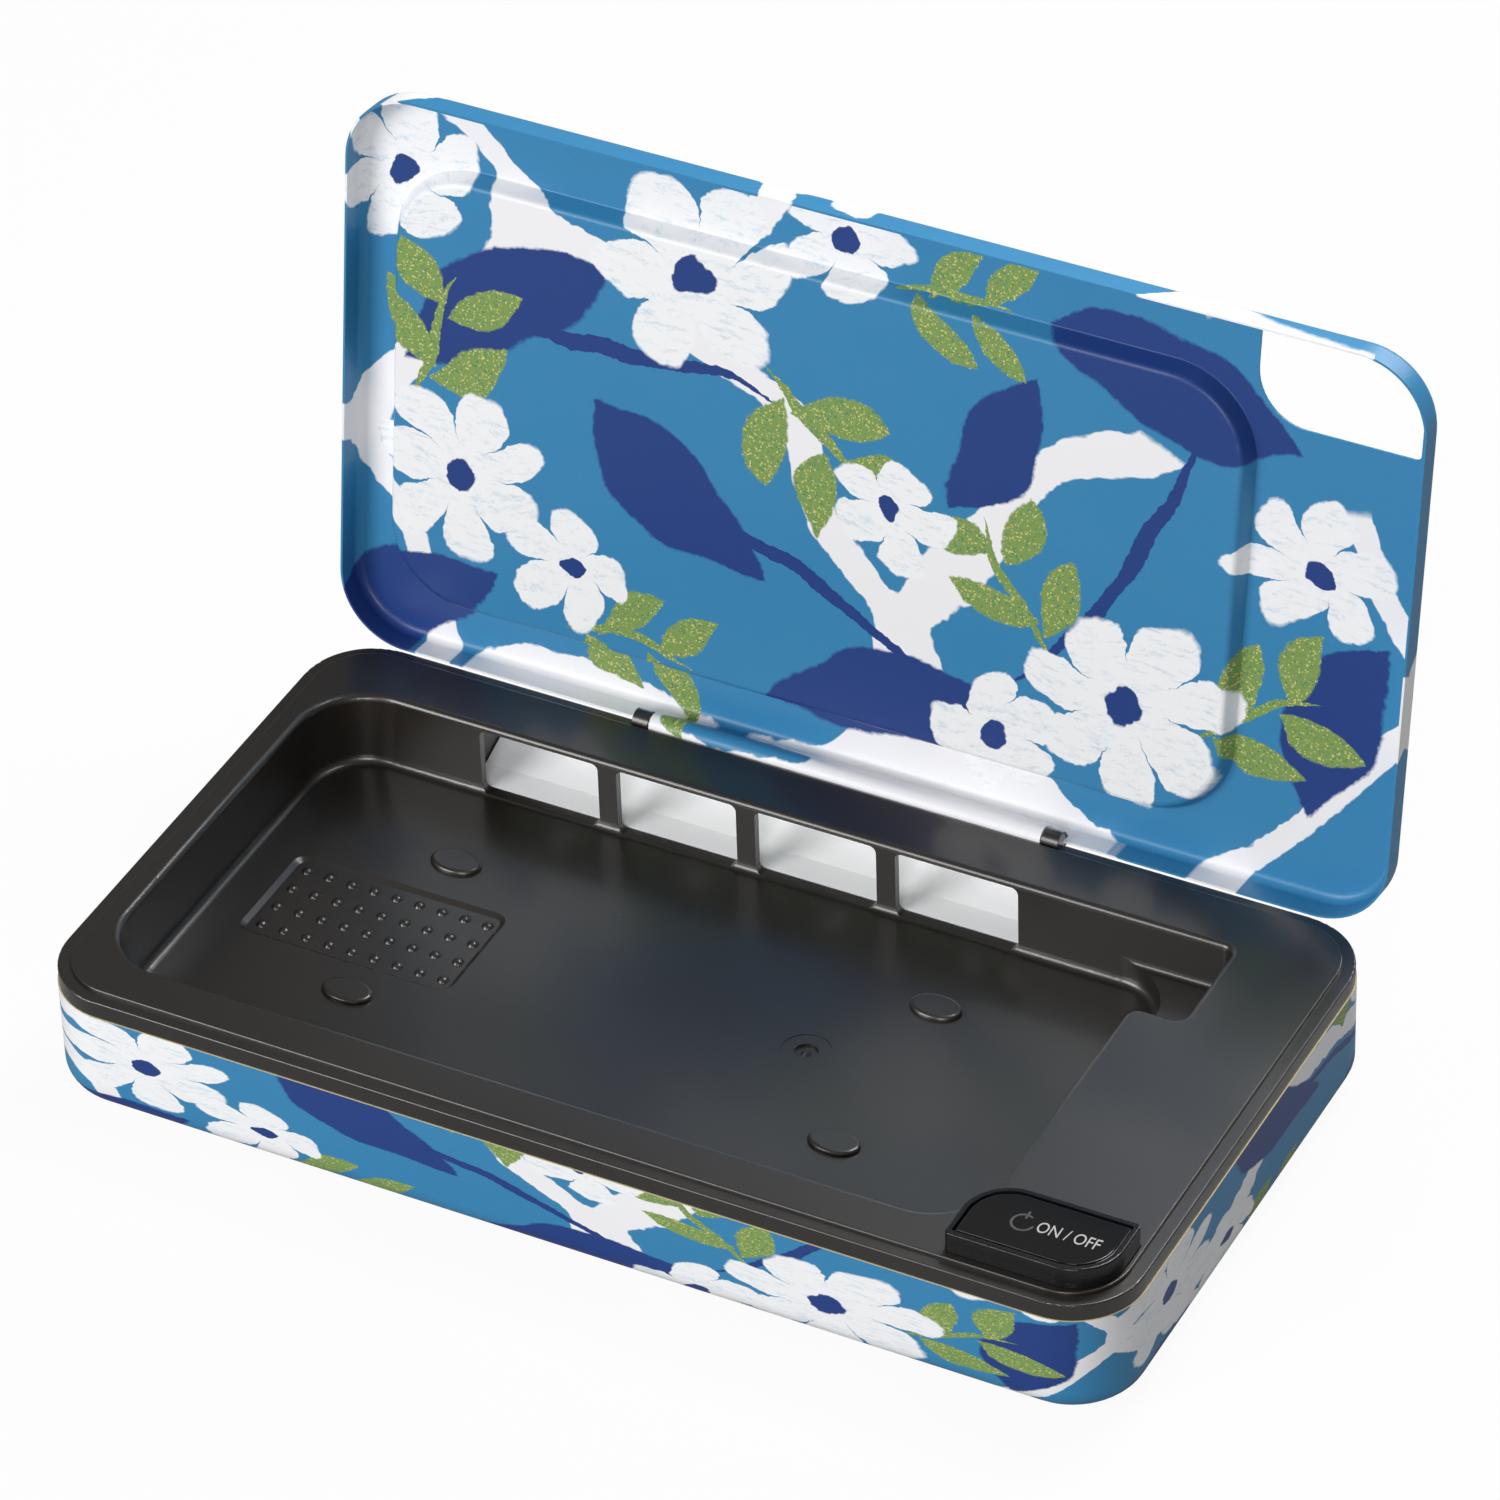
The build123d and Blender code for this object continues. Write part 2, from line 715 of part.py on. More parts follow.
# ---------------------------------------------------------------- lamp board, lamps and its socket

with BuildPart() as uv_led_board:
    with BuildSketch(Plane.XY.offset(lamp_board_under)):
        with Locations((trough_cx, lamp_y)):
            Rectangle(lamp_board_length, lamp_board_width)
    extrude(amount=lamp_board_thickness)
save(uv_led_board, "uv_led_board")

with BuildPart() as uv_leds:
    with Locations(*[(window_x, lamp_y, lamp_board_under) for window_x in window_centres]):
        Box(lamp_size, lamp_size, lamp_height, align=(Align.CENTER, Align.CENTER, Align.MAX))
        with Locations((0, 0, -lamp_height)):
            Cylinder(lamp_lens_radius, lamp_lens_height, align=(Align.CENTER, Align.CENTER, Align.MAX))
save(uv_leds, "uv_leds")

lamp_socket_right = trough_cx + lamp_board_length / 2

with BuildPart() as lamp_socket:
    with Locations((lamp_socket_right, lead_y, lamp_board_under)):
        Box(socket_length, socket_width, socket_height, align=(Align.MAX, Align.CENTER, Align.MAX))
    with Locations((lamp_socket_right, lead_y, lead_z)):
        Cylinder(lead_radius, 2 * socket_grip, rotation=(0, 90, 0), mode=Mode.SUBTRACT)
save(lamp_socket, "lamp_socket")

# ---------------------------------------------------------------- control board

with BuildPart() as control_board:
    with BuildSketch(Plane.XY.offset(board_under)):
        box_outline(board_inset)
        with Locations((board_right, 0)):
            Rectangle(board_length, box_width, align=(Align.MAX, Align.CENTER), mode=Mode.INTERSECT)
        with Locations((pocket_right + board_pocket_gap, basin_rear + board_pocket_gap)):
            Rectangle(
                board_length,
                pocket_width + 2 * board_pocket_gap,
                align=(Align.MAX, Align.MAX),
                mode=Mode.SUBTRACT,
            )
        with Locations(*board_boss_places):
            Circle(board_screw_radius + screw_hole_gap, mode=Mode.SUBTRACT)
    extrude(amount=board_thickness)
save(control_board, "control_board")

with BuildPart() as control_chip:
    with Locations((button_x, button_y + chip_from_button, board_top)):
        Box(chip_size, chip_size, chip_height, align=(Align.CENTER, Align.CENTER, Align.MIN))
save(control_chip, "control_chip")


with BuildPart() as boost_coil:
    with BuildSketch(Plane(origin=(coil_x, coil_y, board_under), x_dir=(1, 0, 0), z_dir=(0, -1, 0))):
        with BuildLine():
            Polyline(
                (0, 0),
                (coil_radius, 0),
                (coil_radius, -coil_flange),
                (coil_radius - coil_waist, -coil_flange),
                (coil_radius - coil_waist, coil_flange - coil_height),
                (coil_radius, coil_flange - coil_height),
                (coil_radius, -coil_height),
                (0, -coil_height),
                close=True,
            )
        make_face()
    revolve(axis=Axis((coil_x, coil_y, board_under), (0, 0, 1)))
save(boost_coil, "boost_coil")

with BuildPart() as capacitors:
    with BuildSketch(Plane.XY.offset(board_under)):
        with Locations((coil_x, button_y + capacitor_from_button)):
            with GridLocations(0, capacitor_pitch, 1, 2):
                Circle(capacitor_radius)
    extrude(amount=-capacitor_height)
    fillet(capacitors.edges().group_by(Axis.Z)[0], bezel_edge_radius)
save(capacitors, "capacitors")

with BuildPart() as lid_sensor:
    with BuildSketch(Plane.XY.offset(board_top)):
        with Locations((coil_x, button_y + sensor_from_button)):
            Circle(sensor_radius)
    extrude(amount=board_drop - sensor_gap)
save(lid_sensor, "lid_sensor")

with BuildPart() as indicator_led:
    with Locations((guide_x, button_y, board_top)):
        Box(led_size, led_size, led_height, align=(Align.CENTER, Align.CENTER, Align.MIN))
save(indicator_led, "indicator_led")

with BuildPart() as tact_switch:
    with Locations((button_x, button_y, board_top)):
        Box(switch_size, switch_size, switch_height, align=(Align.CENTER, Align.CENTER, Align.MIN))
    chamfer(tact_switch.edges().filter_by(Axis.Z), bezel_edge_radius)
    with BuildSketch(Plane.XY.offset(switch_top)):
        with Locations((button_x, button_y)):
            Circle(plunger_radius + plunger_running_gap)
    extrude(amount=-plunger_engagement - cap_travel - plunger_end_gap, mode=Mode.SUBTRACT)
save(tact_switch, "tact_switch")

# ---------------------------------------------------------------- button: plunger, cap, label, light guide

with BuildPart() as switch_plunger:
    with BuildSketch(Plane.XY.offset(stem_bottom)):
        with Locations((button_x, button_y)):
            Circle(plunger_radius)
    extrude(amount=-plunger_stand - plunger_engagement)
save(switch_plunger, "switch_plunger")

with BuildPart() as button_cap:
    with BuildSketch(Plane.XY.offset(cap_bottom)):
        button_inset(bezel_wall + cap_gap)
    extrude(amount=cap_thickness)
    fillet(button_cap.faces().sort_by(Axis.Z)[-1].edges(), label_inset)
    with BuildSketch(Plane.XY.offset(cap_bottom)):
        button_inset(bezel_skirt_wall + cap_gap)
    extrude(amount=cap_flange)
    with BuildSketch(Plane.XY.offset(cap_bottom)):
        with Locations((button_x, button_y)):
            Circle(stem_radius)
    extrude(amount=stem_bottom - cap_bottom)
    with BuildSketch(Plane.XY.offset(cap_top)):
        with Locations((guide_x, button_y)):
            Circle(guide_radius)
    extrude(amount=-cap_thickness, mode=Mode.SUBTRACT)
save(button_cap, "button_cap")

with BuildPart() as button_label:
    with BuildSketch(Plane.XY.offset(cap_top)):
        button_inset(bezel_wall + cap_gap + label_inset)
    extrude(amount=label_thickness)
    fillet(button_label.faces().sort_by(Axis.Z)[-1].edges(), label_edge_radius)
save(button_label, "button_label")

with BuildPart() as light_guide:
    with BuildSketch(Plane.XY.offset(cap_top)):
        with Locations((guide_x, button_y)):
            Circle(guide_radius)
    extrude(amount=guide_bottom - cap_top)
save(light_guide, "light_guide")

with BuildPart() as button_bezel:
    with BuildSketch(Plane.XY.offset(deck_top - bezel_sink)):
        button_inset(0)
    extrude(amount=bezel_sink + button_height)
    fillet(button_bezel.faces().sort_by(Axis.Z)[-1].edges(), bezel_edge_radius)
    with BuildSketch(Plane.XY.offset(bezel_top)):
        button_inset(bezel_wall)
    extrude(amount=-bezel_sink - button_height, mode=Mode.SUBTRACT)
    with BuildSketch(Plane.XY.offset(deck_top - bezel_sink)):
        button_inset(bezel_skirt_wall)
    extrude(amount=lip_under - deck_top + bezel_sink, mode=Mode.SUBTRACT)
save(button_bezel, "button_bezel")

# ---------------------------------------------------------------- power inlet

inlet_plane = Plane(origin=(usb_x, half_width, usb_z), x_dir=(1, 0, 0), z_dir=(0, -1, 0))

with BuildPart() as usb_socket:
    with BuildSketch(inlet_plane):
        RectangleRounded(usb_length, usb_height, usb_corner)
    extrude(amount=usb_depth)
    with BuildSketch(inlet_plane):
        RectangleRounded(usb_length - 2 * usb_shell, usb_height - 2 * usb_shell, usb_corner - usb_shell)
    extrude(amount=usb_depth - usb_back_wall, mode=Mode.SUBTRACT)
    with BuildSketch(inlet_plane.offset(usb_depth - usb_back_wall)):
        Rectangle(usb_tongue_length, usb_tongue_height)
    extrude(amount=-usb_tongue_depth)
save(usb_socket, "usb_socket")

with BuildPart() as usb_bezel:
    with BuildSketch(inlet_plane):
        RectangleRounded(
            usb_hole_length + 2 * flange_width - 2 * bezel_sleeve,
            usb_hole_height + 2 * flange_width - 2 * bezel_sleeve,
            usb_hole_corner,
        )
    extrude(amount=-flange_thickness)
    fillet(usb_bezel.faces().sort_by(Axis.Y)[-1].edges(), bezel_edge_radius)
    with BuildSketch(inlet_plane):
        RectangleRounded(
            usb_hole_length - 2 * bezel_fit,
            usb_hole_height - 2 * bezel_fit,
            usb_hole_corner - bezel_fit,
        )
    extrude(amount=sheet + plug_gap)
    with BuildSketch(inlet_plane.offset(sheet + plug_gap)):
        RectangleRounded(usb_length + 2 * bezel_fit, usb_height + 2 * bezel_fit, usb_corner + bezel_fit)
    extrude(amount=-sheet - plug_gap - flange_thickness, mode=Mode.SUBTRACT)
save(usb_bezel, "usb_bezel")

# ---------------------------------------------------------------- lead from the control board to the lamps

with BuildPart() as board_socket:
    with Locations((board_socket_x, lead_y, board_top)):
        Box(socket_length, socket_width, socket_height, align=(Align.CENTER, Align.CENTER, Align.MIN))
    with Locations((board_socket_x, lead_y, board_top + socket_height)):
        Cylinder(lead_radius, 2 * socket_grip, mode=Mode.SUBTRACT)
save(board_socket, "board_socket")

with BuildPart() as led_cable:
    with BuildLine():
        FilletPolyline(
            (lamp_socket_right - socket_grip, lead_y, lead_z),
            (board_socket_x, lead_y, lead_z),
            (board_socket_x, lead_y, board_top + socket_height - socket_grip),
            radius=lead_bend_radius,
        )
    with BuildSketch(Plane(origin=(lamp_socket_right - socket_grip, lead_y, lead_z), z_dir=(1, 0, 0))):
        Circle(lead_radius)
    sweep()
save(led_cable, "led_cable")

# ---------------------------------------------------------------- screws and feet

with BuildPart() as board_screws:
    with BuildSketch(Plane.XY.offset(board_under)):
        with Locations(*board_boss_places):
            Circle(board_screw_radius)
    extrude(amount=board_thickness + board_screw_length - screw_tip_gap)
    with BuildSketch(Plane.XY.offset(board_under)):
        with Locations(*board_boss_places):
            Circle(board_screw_head)
    extrude(amount=-board_screw_head_height)
    with BuildSketch(Plane.XY.offset(board_under - board_screw_head_height)):
        with Locations(*board_boss_places):
            Rectangle(2 * board_screw_head, screw_slot_depth)
    extrude(amount=screw_slot_depth, mode=Mode.SUBTRACT)
save(board_screws, "board_screws")

with BuildPart() as base_screws:
    with BuildSketch(Plane.XY.offset(foot_height)):
        with Locations(*base_boss_places):
            Circle(base_screw_radius)
    extrude(amount=sheet + base_screw_length - screw_tip_gap)
    with BuildSketch(Plane.XY.offset(foot_height)):
        with Locations(*base_boss_places):
            Circle(base_screw_head)
    extrude(amount=-base_screw_head_height)
    with BuildSketch(Plane.XY.offset(foot_height - base_screw_head_height)):
        with Locations(*base_boss_places):
            Rectangle(2 * base_screw_head, screw_slot_depth)
    extrude(amount=screw_slot_depth, mode=Mode.SUBTRACT)
save(base_screws, "base_screws")

with BuildPart() as rubber_feet:
    with BuildSketch():
        with Locations(*base_boss_places, *loose_foot_places):
            Circle(foot_radius)
    extrude(amount=foot_height)
    fillet(rubber_feet.edges().group_by(Axis.Z)[0], foot_edge_radius)
    with BuildSketch(Plane.XY.offset(foot_height)):
        with Locations(*base_boss_places):
            Circle(base_screw_head + foot_head_gap)
    extrude(amount=foot_skin - foot_height, mode=Mode.SUBTRACT)
save(rubber_feet, "rubber_feet")
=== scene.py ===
"""Ultraviolet sanitizer box for phones: printed tin, moulded black insert, and a lid open on its hinge."""

import math

import bpy
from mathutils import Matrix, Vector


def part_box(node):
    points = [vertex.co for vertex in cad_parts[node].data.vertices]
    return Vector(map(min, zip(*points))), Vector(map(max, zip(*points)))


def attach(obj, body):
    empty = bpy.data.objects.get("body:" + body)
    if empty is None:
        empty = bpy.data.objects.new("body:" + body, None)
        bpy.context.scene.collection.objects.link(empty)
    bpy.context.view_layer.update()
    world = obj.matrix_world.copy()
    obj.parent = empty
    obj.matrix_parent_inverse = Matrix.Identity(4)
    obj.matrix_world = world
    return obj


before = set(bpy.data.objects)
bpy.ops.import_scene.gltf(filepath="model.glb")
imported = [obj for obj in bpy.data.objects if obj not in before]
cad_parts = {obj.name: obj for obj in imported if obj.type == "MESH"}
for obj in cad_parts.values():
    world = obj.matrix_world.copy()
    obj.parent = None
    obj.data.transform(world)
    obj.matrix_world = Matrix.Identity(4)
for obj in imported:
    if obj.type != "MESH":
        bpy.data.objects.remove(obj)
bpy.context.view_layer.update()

# ---------------------------------------------------------------- camera
# A long lens looks down on the open box from the front right.
# The camera's body is tilted a little to one side.
lens_mm = 195.09
sensor_width_mm = 36.0
camera_place = (0.50475, -0.92167, 0.88867)
camera_turn_degrees = (52.0344, 1.5628, 27.0078)
camera_data = bpy.data.cameras.new("studio_camera")
camera_data.lens = lens_mm
camera_data.sensor_width = sensor_width_mm
camera = bpy.data.objects.new("studio_camera", camera_data)
camera.location = camera_place
camera.rotation_euler = [math.radians(turn) for turn in camera_turn_degrees]
bpy.context.scene.collection.objects.link(camera)
bpy.context.scene.camera = camera

# ---------------------------------------------------------------- studio light
# A dim tent, a little lighter overhead, with a large soft panel to the left and a weaker one in front. Two
# small panels above and behind the open lid give the black deck its sheen, and one lights the box's back.
# The white round the box is for the eye and for glass, and gloss sees only a little of it.
bpy.context.scene.view_settings.view_transform = "Standard"
tent_strength = 0.09
tent_rise = 0.08
gloss_share_of_white = 0.05
white = (1.0, 1.0, 1.0, 1.0)
# The name, place, aim, size and watts of each panel
panels = [
    ("left_panel", (-0.8, -1.2, 0.65), (0.0, 0.0, 0.05), (0.8, 0.8), 16.6),
    ("front_panel", (0.4, -1.4, 0.6), (0.0, 0.0, 0.05), (0.5, 0.5), 7.5),
    ("top_panel", (0.15, 0.16, 0.6), (0.06, 0.0, 0.02), (0.2, 0.2), 0.6),
    ("sheen_panel", (0.1, 0.3, 0.56), (0.08, 0.0, 0.02), (0.2, 0.15), 1.7),
    ("rear_panel", (0.25, 1.3, 0.75), (0.0, 0.0, 0.03), (0.9, 0.5), 9.0),
]


def node(tree, kind, inputs=(), **settings):
    """One node. Inputs are given by name or number, as a value or as a socket."""
    made = tree.nodes.new(kind)
    for name, value in settings.items():
        setattr(made, name, value)
    for name, value in dict(inputs).items():
        if isinstance(value, bpy.types.NodeSocket):
            tree.links.new(value, made.inputs[name])
        else:
            made.inputs[name].default_value = value
    return made


def maths(tree, operation, *values):
    """The result of one sum on numbers or sockets."""
    return node(tree, "ShaderNodeMath", enumerate(values), operation=operation).outputs[0]


def seen_or_lit(tree, share, lit, seen, out):
    """Shows one shader to the eye and through glass, by a share up to 1, and the other to the light."""
    rays = node(tree, "ShaderNodeLightPath").outputs
    looking = maths(tree, "MAXIMUM", rays["Is Camera Ray"], rays["Is Transmission Ray"])
    mirrored = maths(tree, "MULTIPLY", rays["Is Glossy Ray"], gloss_share_of_white)
    seen_share = maths(tree, "MAXIMUM", maths(tree, "MULTIPLY", looking, share), mirrored)
    choice = node(tree, "ShaderNodeMixShader", {0: seen_share, 1: lit.outputs[0], 2: seen.outputs[0]})
    node(tree, out, {"Surface": choice.outputs[0]})


world = bpy.data.worlds.new("white_tent")
bpy.context.scene.world = world
world.use_nodes = True
tent = world.node_tree
tent.nodes.clear()
tent_way = node(tent, "ShaderNodeTexCoord").outputs["Generated"]
tent_up = node(tent, "ShaderNodeSeparateXYZ", {0: tent_way}).outputs[2]
tent_level = maths(tent, "MULTIPLY_ADD", tent_up, tent_rise, tent_strength)
tent_light = node(tent, "ShaderNodeBackground", {"Color": white, "Strength": tent_level})
tent_seen = node(tent, "ShaderNodeBackground", {"Color": white, "Strength": 1.0})
seen_or_lit(tent, 1.0, tent_light, tent_seen, "ShaderNodeOutputWorld")


def soft_panel(name, place, aim, size, watts):
    """A soft light at a place, turned towards the point that it lights."""
    lamp = bpy.data.lights.new(name, "AREA")
    lamp.shape = "RECTANGLE"
    lamp.size, lamp.size_y = size
    lamp.energy = watts
    panel = bpy.data.objects.new(name, lamp)
    panel.location = place
    right, ahead, up = (to - at for to, at in zip(aim, place))
    panel.rotation_euler = (math.atan2(math.hypot(right, ahead), -up), 0.0, math.atan2(-right, ahead))
    bpy.context.scene.collection.objects.link(panel)


for panel_settings in panels:
    soft_panel(*panel_settings)

# ---------------------------------------------------------------- table
# A pale seamless table top, big enough to fill every view. It looks white, and throws back little light,
# so that the black rim stays black.
table_size = 12.0
table_share_of_white = 0.84
table_white_strength = 1.12
table_grey = (0.28, 0.28, 0.28, 1.0)
bpy.ops.object.select_all(action="DESELECT")
bpy.ops.mesh.primitive_plane_add(size=table_size, location=(0.0, 0.0, 0.0))
table = bpy.context.object
table.name = "table_top"
paper = bpy.data.materials.new("pale_paper")
paper.use_nodes = True
paper.node_tree.nodes.clear()
paper_lit = node(paper.node_tree, "ShaderNodeBsdfDiffuse", {"Color": table_grey})
paper_seen = node(
    paper.node_tree, "ShaderNodeEmission", {"Color": white, "Strength": table_white_strength})
seen_or_lit(paper.node_tree, table_share_of_white, paper_lit, paper_seen, "ShaderNodeOutputMaterial")
table.data.materials.append(paper)

# ---------------------------------------------------------------- printed tin: inks
# Base and lid are drawn from tinplate that is printed on both sides before pressing: off-white ground,
# pools of blue, navy and green leaves, and white daisies, all under a clear satin lacquer.
# Places and sizes on the printed sheet are in millimetres.


def ink(red, green, blue):
    """A colour as it is read off a swatch, 0 to 255, turned to light values."""
    return tuple(((c / 255 + 0.055) / 1.055) ** 2.4 for c in (red, green, blue)) + (1.0,)


def noise(tree, point, scale, detail=2.0, roughness=0.5):
    """Soft even noise about 0.5, so many lumps to each unit of the point."""
    given = {"Vector": point, "Scale": scale, "Detail": detail, "Roughness": roughness}
    return node(tree, "ShaderNodeTexNoise", given).outputs


def laid_over(tree, share, below, above):
    """The colour above laid over the colour below, where share is 1."""
    mixed = node(tree, "ShaderNodeMix", {0: share, 6: below, 7: above}, data_type="RGBA")
    return mixed.outputs[2]


def edge(tree, inside, sharpness):
    """1 inside a shape and 0 outside it, from a distance that is positive inside."""
    cut = node(tree, "ShaderNodeMath", {0: inside, 1: sharpness}, operation="MULTIPLY", use_clamp=True)
    return cut.outputs[0]


def shape_group(name, last_number):
    """A node group for one printed shape: its tree, the point along and across it, and its last number."""
    tree = bpy.data.node_groups.new(name, "ShaderNodeTree")
    for label in ("Sheet", "Centre", "Turn", "Size"):
        tree.interface.new_socket(label, in_out="INPUT", socket_type="NodeSocketVector")
    tree.interface.new_socket(last_number, in_out="INPUT", socket_type="NodeSocketFloat")
    tree.interface.new_socket("Inside", in_out="OUTPUT", socket_type="NodeSocketFloat")
    given = tree.nodes.new("NodeGroupInput").outputs
    place = {"Vector": given[0], "Location": given[1], "Rotation": given[2], "Scale": given[3]}
    own = node(tree, "ShaderNodeMapping", place, vector_type="TEXTURE")
    split = node(tree, "ShaderNodeSeparateXYZ", {0: own.outputs[0]})
    return tree, split.outputs[0], split.outputs[1], given[4]


# A leaf or a stem: pointed at both ends, and bowed to one side
leaf_shape, along, across, bow = shape_group("leaf_shape", "Bow")
taper = maths(leaf_shape, "SUBTRACT", 1.0, maths(leaf_shape, "MULTIPLY", along, along))
from_rib = maths(leaf_shape, "SUBTRACT", across, maths(leaf_shape, "MULTIPLY", taper, bow))
leaf_inside = maths(leaf_shape, "SUBTRACT", taper, maths(leaf_shape, "ABSOLUTE", from_rib))
node(leaf_shape, "NodeGroupOutput", {0: leaf_inside})

# A daisy: the reach of its petals rises and falls round the heart
petal_bluntness = 0.36
petal_notch_reach = 0.28
daisy_shape, daisy_x, daisy_y, petals = shape_group("daisy_shape", "Petals")
y_squared = maths(daisy_shape, "MULTIPLY", daisy_y, daisy_y)
from_heart = maths(daisy_shape, "SQRT", maths(daisy_shape, "MULTIPLY_ADD", daisy_x, daisy_x, y_squared))
half_petals = maths(daisy_shape, "MULTIPLY", petals, 0.5)
bearing = maths(daisy_shape, "ARCTAN2", daisy_y, daisy_x)
wave = maths(daisy_shape, "COSINE", maths(daisy_shape, "MULTIPLY", bearing, half_petals))
swell = maths(daisy_shape, "POWER", maths(daisy_shape, "ABSOLUTE", wave), petal_bluntness)
petal_reach = maths(daisy_shape, "MULTIPLY_ADD", swell, 1.0 - petal_notch_reach, petal_notch_reach)
daisy_inside = maths(daisy_shape, "SUBTRACT", petal_reach, from_heart)
node(daisy_shape, "NodeGroupOutput", {0: daisy_inside})


def printed(tree, sheet, shape, places, sharpness):
    """Where one ink lies. A place is x, y, half length, half width, degrees and the last number."""
    inked = 0.0
    for x, y, length, width, degrees, last in places:
        one = node(tree, "ShaderNodeGroup", node_tree=shape)
        tree.links.new(sheet, one.inputs["Sheet"])
        one.inputs["Centre"].default_value = (x, y, 0.0)
        one.inputs["Turn"].default_value = (0.0, 0.0, math.radians(degrees))
        one.inputs["Size"].default_value = (length, width, 1.0)
        one.inputs[4].default_value = last
        inked = maths(tree, "MAXIMUM", inked, one.outputs[0])
    return edge(tree, inked, sharpness)


def sprig(x, y, degrees, length, pairs, leaf):
    """A stem with paired leaves, as places for the leaf shape. It starts at x, y and heads at an angle."""
    stem_half_length = 0.56 * length
    stem_half_width = 1.1
    stem_bow = 1.5
    pair_start = 0.45
    pair_stagger = 0.15 * leaf
    pair_shrink = 0.12
    leaf_spread = 0.8
    leaf_reach = 0.95 * leaf
    leaf_half_width = 0.42 * leaf
    leaf_bow = 0.3
    heading = math.radians(degrees)
    middle = (x + 0.5 * length * math.cos(heading), y + 0.5 * length * math.sin(heading))
    places = [middle + (stem_half_length, stem_half_width, degrees, stem_bow)]
    for pair in range(pairs):
        for side in (-1, 1):
            along_stem = length * (pair + pair_start) / pairs + pair_stagger * side
            lean = heading + side * leaf_spread
            places.append((
                x + along_stem * math.cos(heading) + leaf_reach * math.cos(lean),
                y + along_stem * math.sin(heading) + leaf_reach * math.sin(lean),
                leaf * (1.0 - pair_shrink * pair), leaf_half_width, math.degrees(lean), leaf_bow * side,
            ))
    return places


# The sheet is measured along the hinge from its middle, and up from the hinge.
garden = bpy.data.node_groups.new("garden_print", "ShaderNodeTree")
garden.interface.new_socket("Sheet", in_out="INPUT", socket_type="NodeSocketVector")
garden.interface.new_socket("Ground", in_out="INPUT", socket_type="NodeSocketVector")
garden.interface.new_socket("Color", in_out="OUTPUT", socket_type="NodeSocketColor")
garden_given = garden.nodes.new("NodeGroupInput").outputs


def hand_drawn(start, scale, detail, amount):
    """The sheet pushed about a little, so that outlines look brushed by hand."""
    lumps = noise(garden, start, scale, detail)["Color"]
    sway = node(garden, "ShaderNodeVectorMath", {0: lumps, 1: (0.5, 0.5, 0.5)}, operation="SUBTRACT")
    push = node(garden, "ShaderNodeVectorMath", {0: sway.outputs[0], "Scale": amount}, operation="SCALE")
    pushed = node(garden, "ShaderNodeVectorMath", {0: start, 1: push.outputs[0]}, operation="ADD")
    return pushed.outputs[0]


swayed = hand_drawn(garden_given["Sheet"], scale=0.045, detail=1.0, amount=9.0)
drawn = hand_drawn(swayed, scale=0.7, detail=2.0, amount=1.1)
petals_drawn = hand_drawn(drawn, scale=0.11, detail=1.0, amount=5.0)
swirled = hand_drawn(garden_given["Ground"], scale=0.016, detail=1.0, amount=46.0)
pool_place = hand_drawn(swirled, scale=0.3, detail=2.0, amount=2.4)

# Pools of blue fill rounded cells, with channels of bare ground between them
pool_radius = 0.62
channel_width = 0.09
pool_sharpness = 200.0
pool_cells = {"Vector": pool_place, "Scale": 0.0135, "Randomness": 0.9}
pool_rim = node(
    garden, "ShaderNodeTexVoronoi", pool_cells, voronoi_dimensions="2D", feature="DISTANCE_TO_EDGE")
pool_core = node(garden, "ShaderNodeTexVoronoi", pool_cells, voronoi_dimensions="2D", feature="F1")
channel = maths(garden, "MULTIPLY", noise(garden, garden_given["Ground"], 0.03)["Fac"], channel_width)
in_cell = maths(garden, "SUBTRACT", pool_rim.outputs["Distance"], channel)
in_round = maths(garden, "SUBTRACT", pool_radius, pool_core.outputs["Distance"])
pools = edge(garden, maths(garden, "MINIMUM", in_cell, in_round), pool_sharpness)

# One more pool, large navy leaves with three long stems, green sprigs, and daisies with navy hearts
pool_places = [(80, 92, 40, 20, 8, 0.0)]
navy_places = [
    (-70, 70, 24, 10, 34, 0.25), (-36, 46, 22, 10, -40, -0.2), (54, 88, 25, 9, -18, 0.3),
    (88, 34, 20, 9, 74, 0.2), (-90, 12, 22, 9, 22, -0.3), (6, 14, 24, 9, 12, 0.3),
    (22, 72, 17, 8, 62, -0.3),
    (-50, 64, 34, 1.6, 8, 4.0), (42, 58, 40, 1.5, 64, -4.5), (-12, 30, 36, 1.5, -24, 4.0),
]
green_places = (
    sprig(-20, 74, -48, 26, 2, 10) + sprig(-86, 50, 74, 24, 2, 9) + sprig(62, 24, 30, 24, 2, 9)
    + sprig(36, 34, 122, 26, 2, 9) + sprig(-56, 14, -6, 24, 2, 8) + sprig(2, 92, 8, 22, 2, 8)
)
daisy_places = [
    (-34, 88, 20, 18, 10, 6), (-8, 100, 13, 12, 0, 5), (-78, 38, 19, 17, 24, 7), (-57, 24, 12, 11, 5, 5),
    (50, 28, 21, 19, 14, 7), (26, 15, 13, 12, 30, 5), (80, 62, 15, 14, 8, 6), (-92, 92, 15, 14, 18, 6),
    (4, 52, 12, 11, 0, 5),
]
heart_length = 0.2
heart_width = 0.17
heart_places = [
    (x, y, heart_length * reach, heart_width * reach, turned, 0.0)
    for x, y, reach, _, turned, _ in daisy_places
]

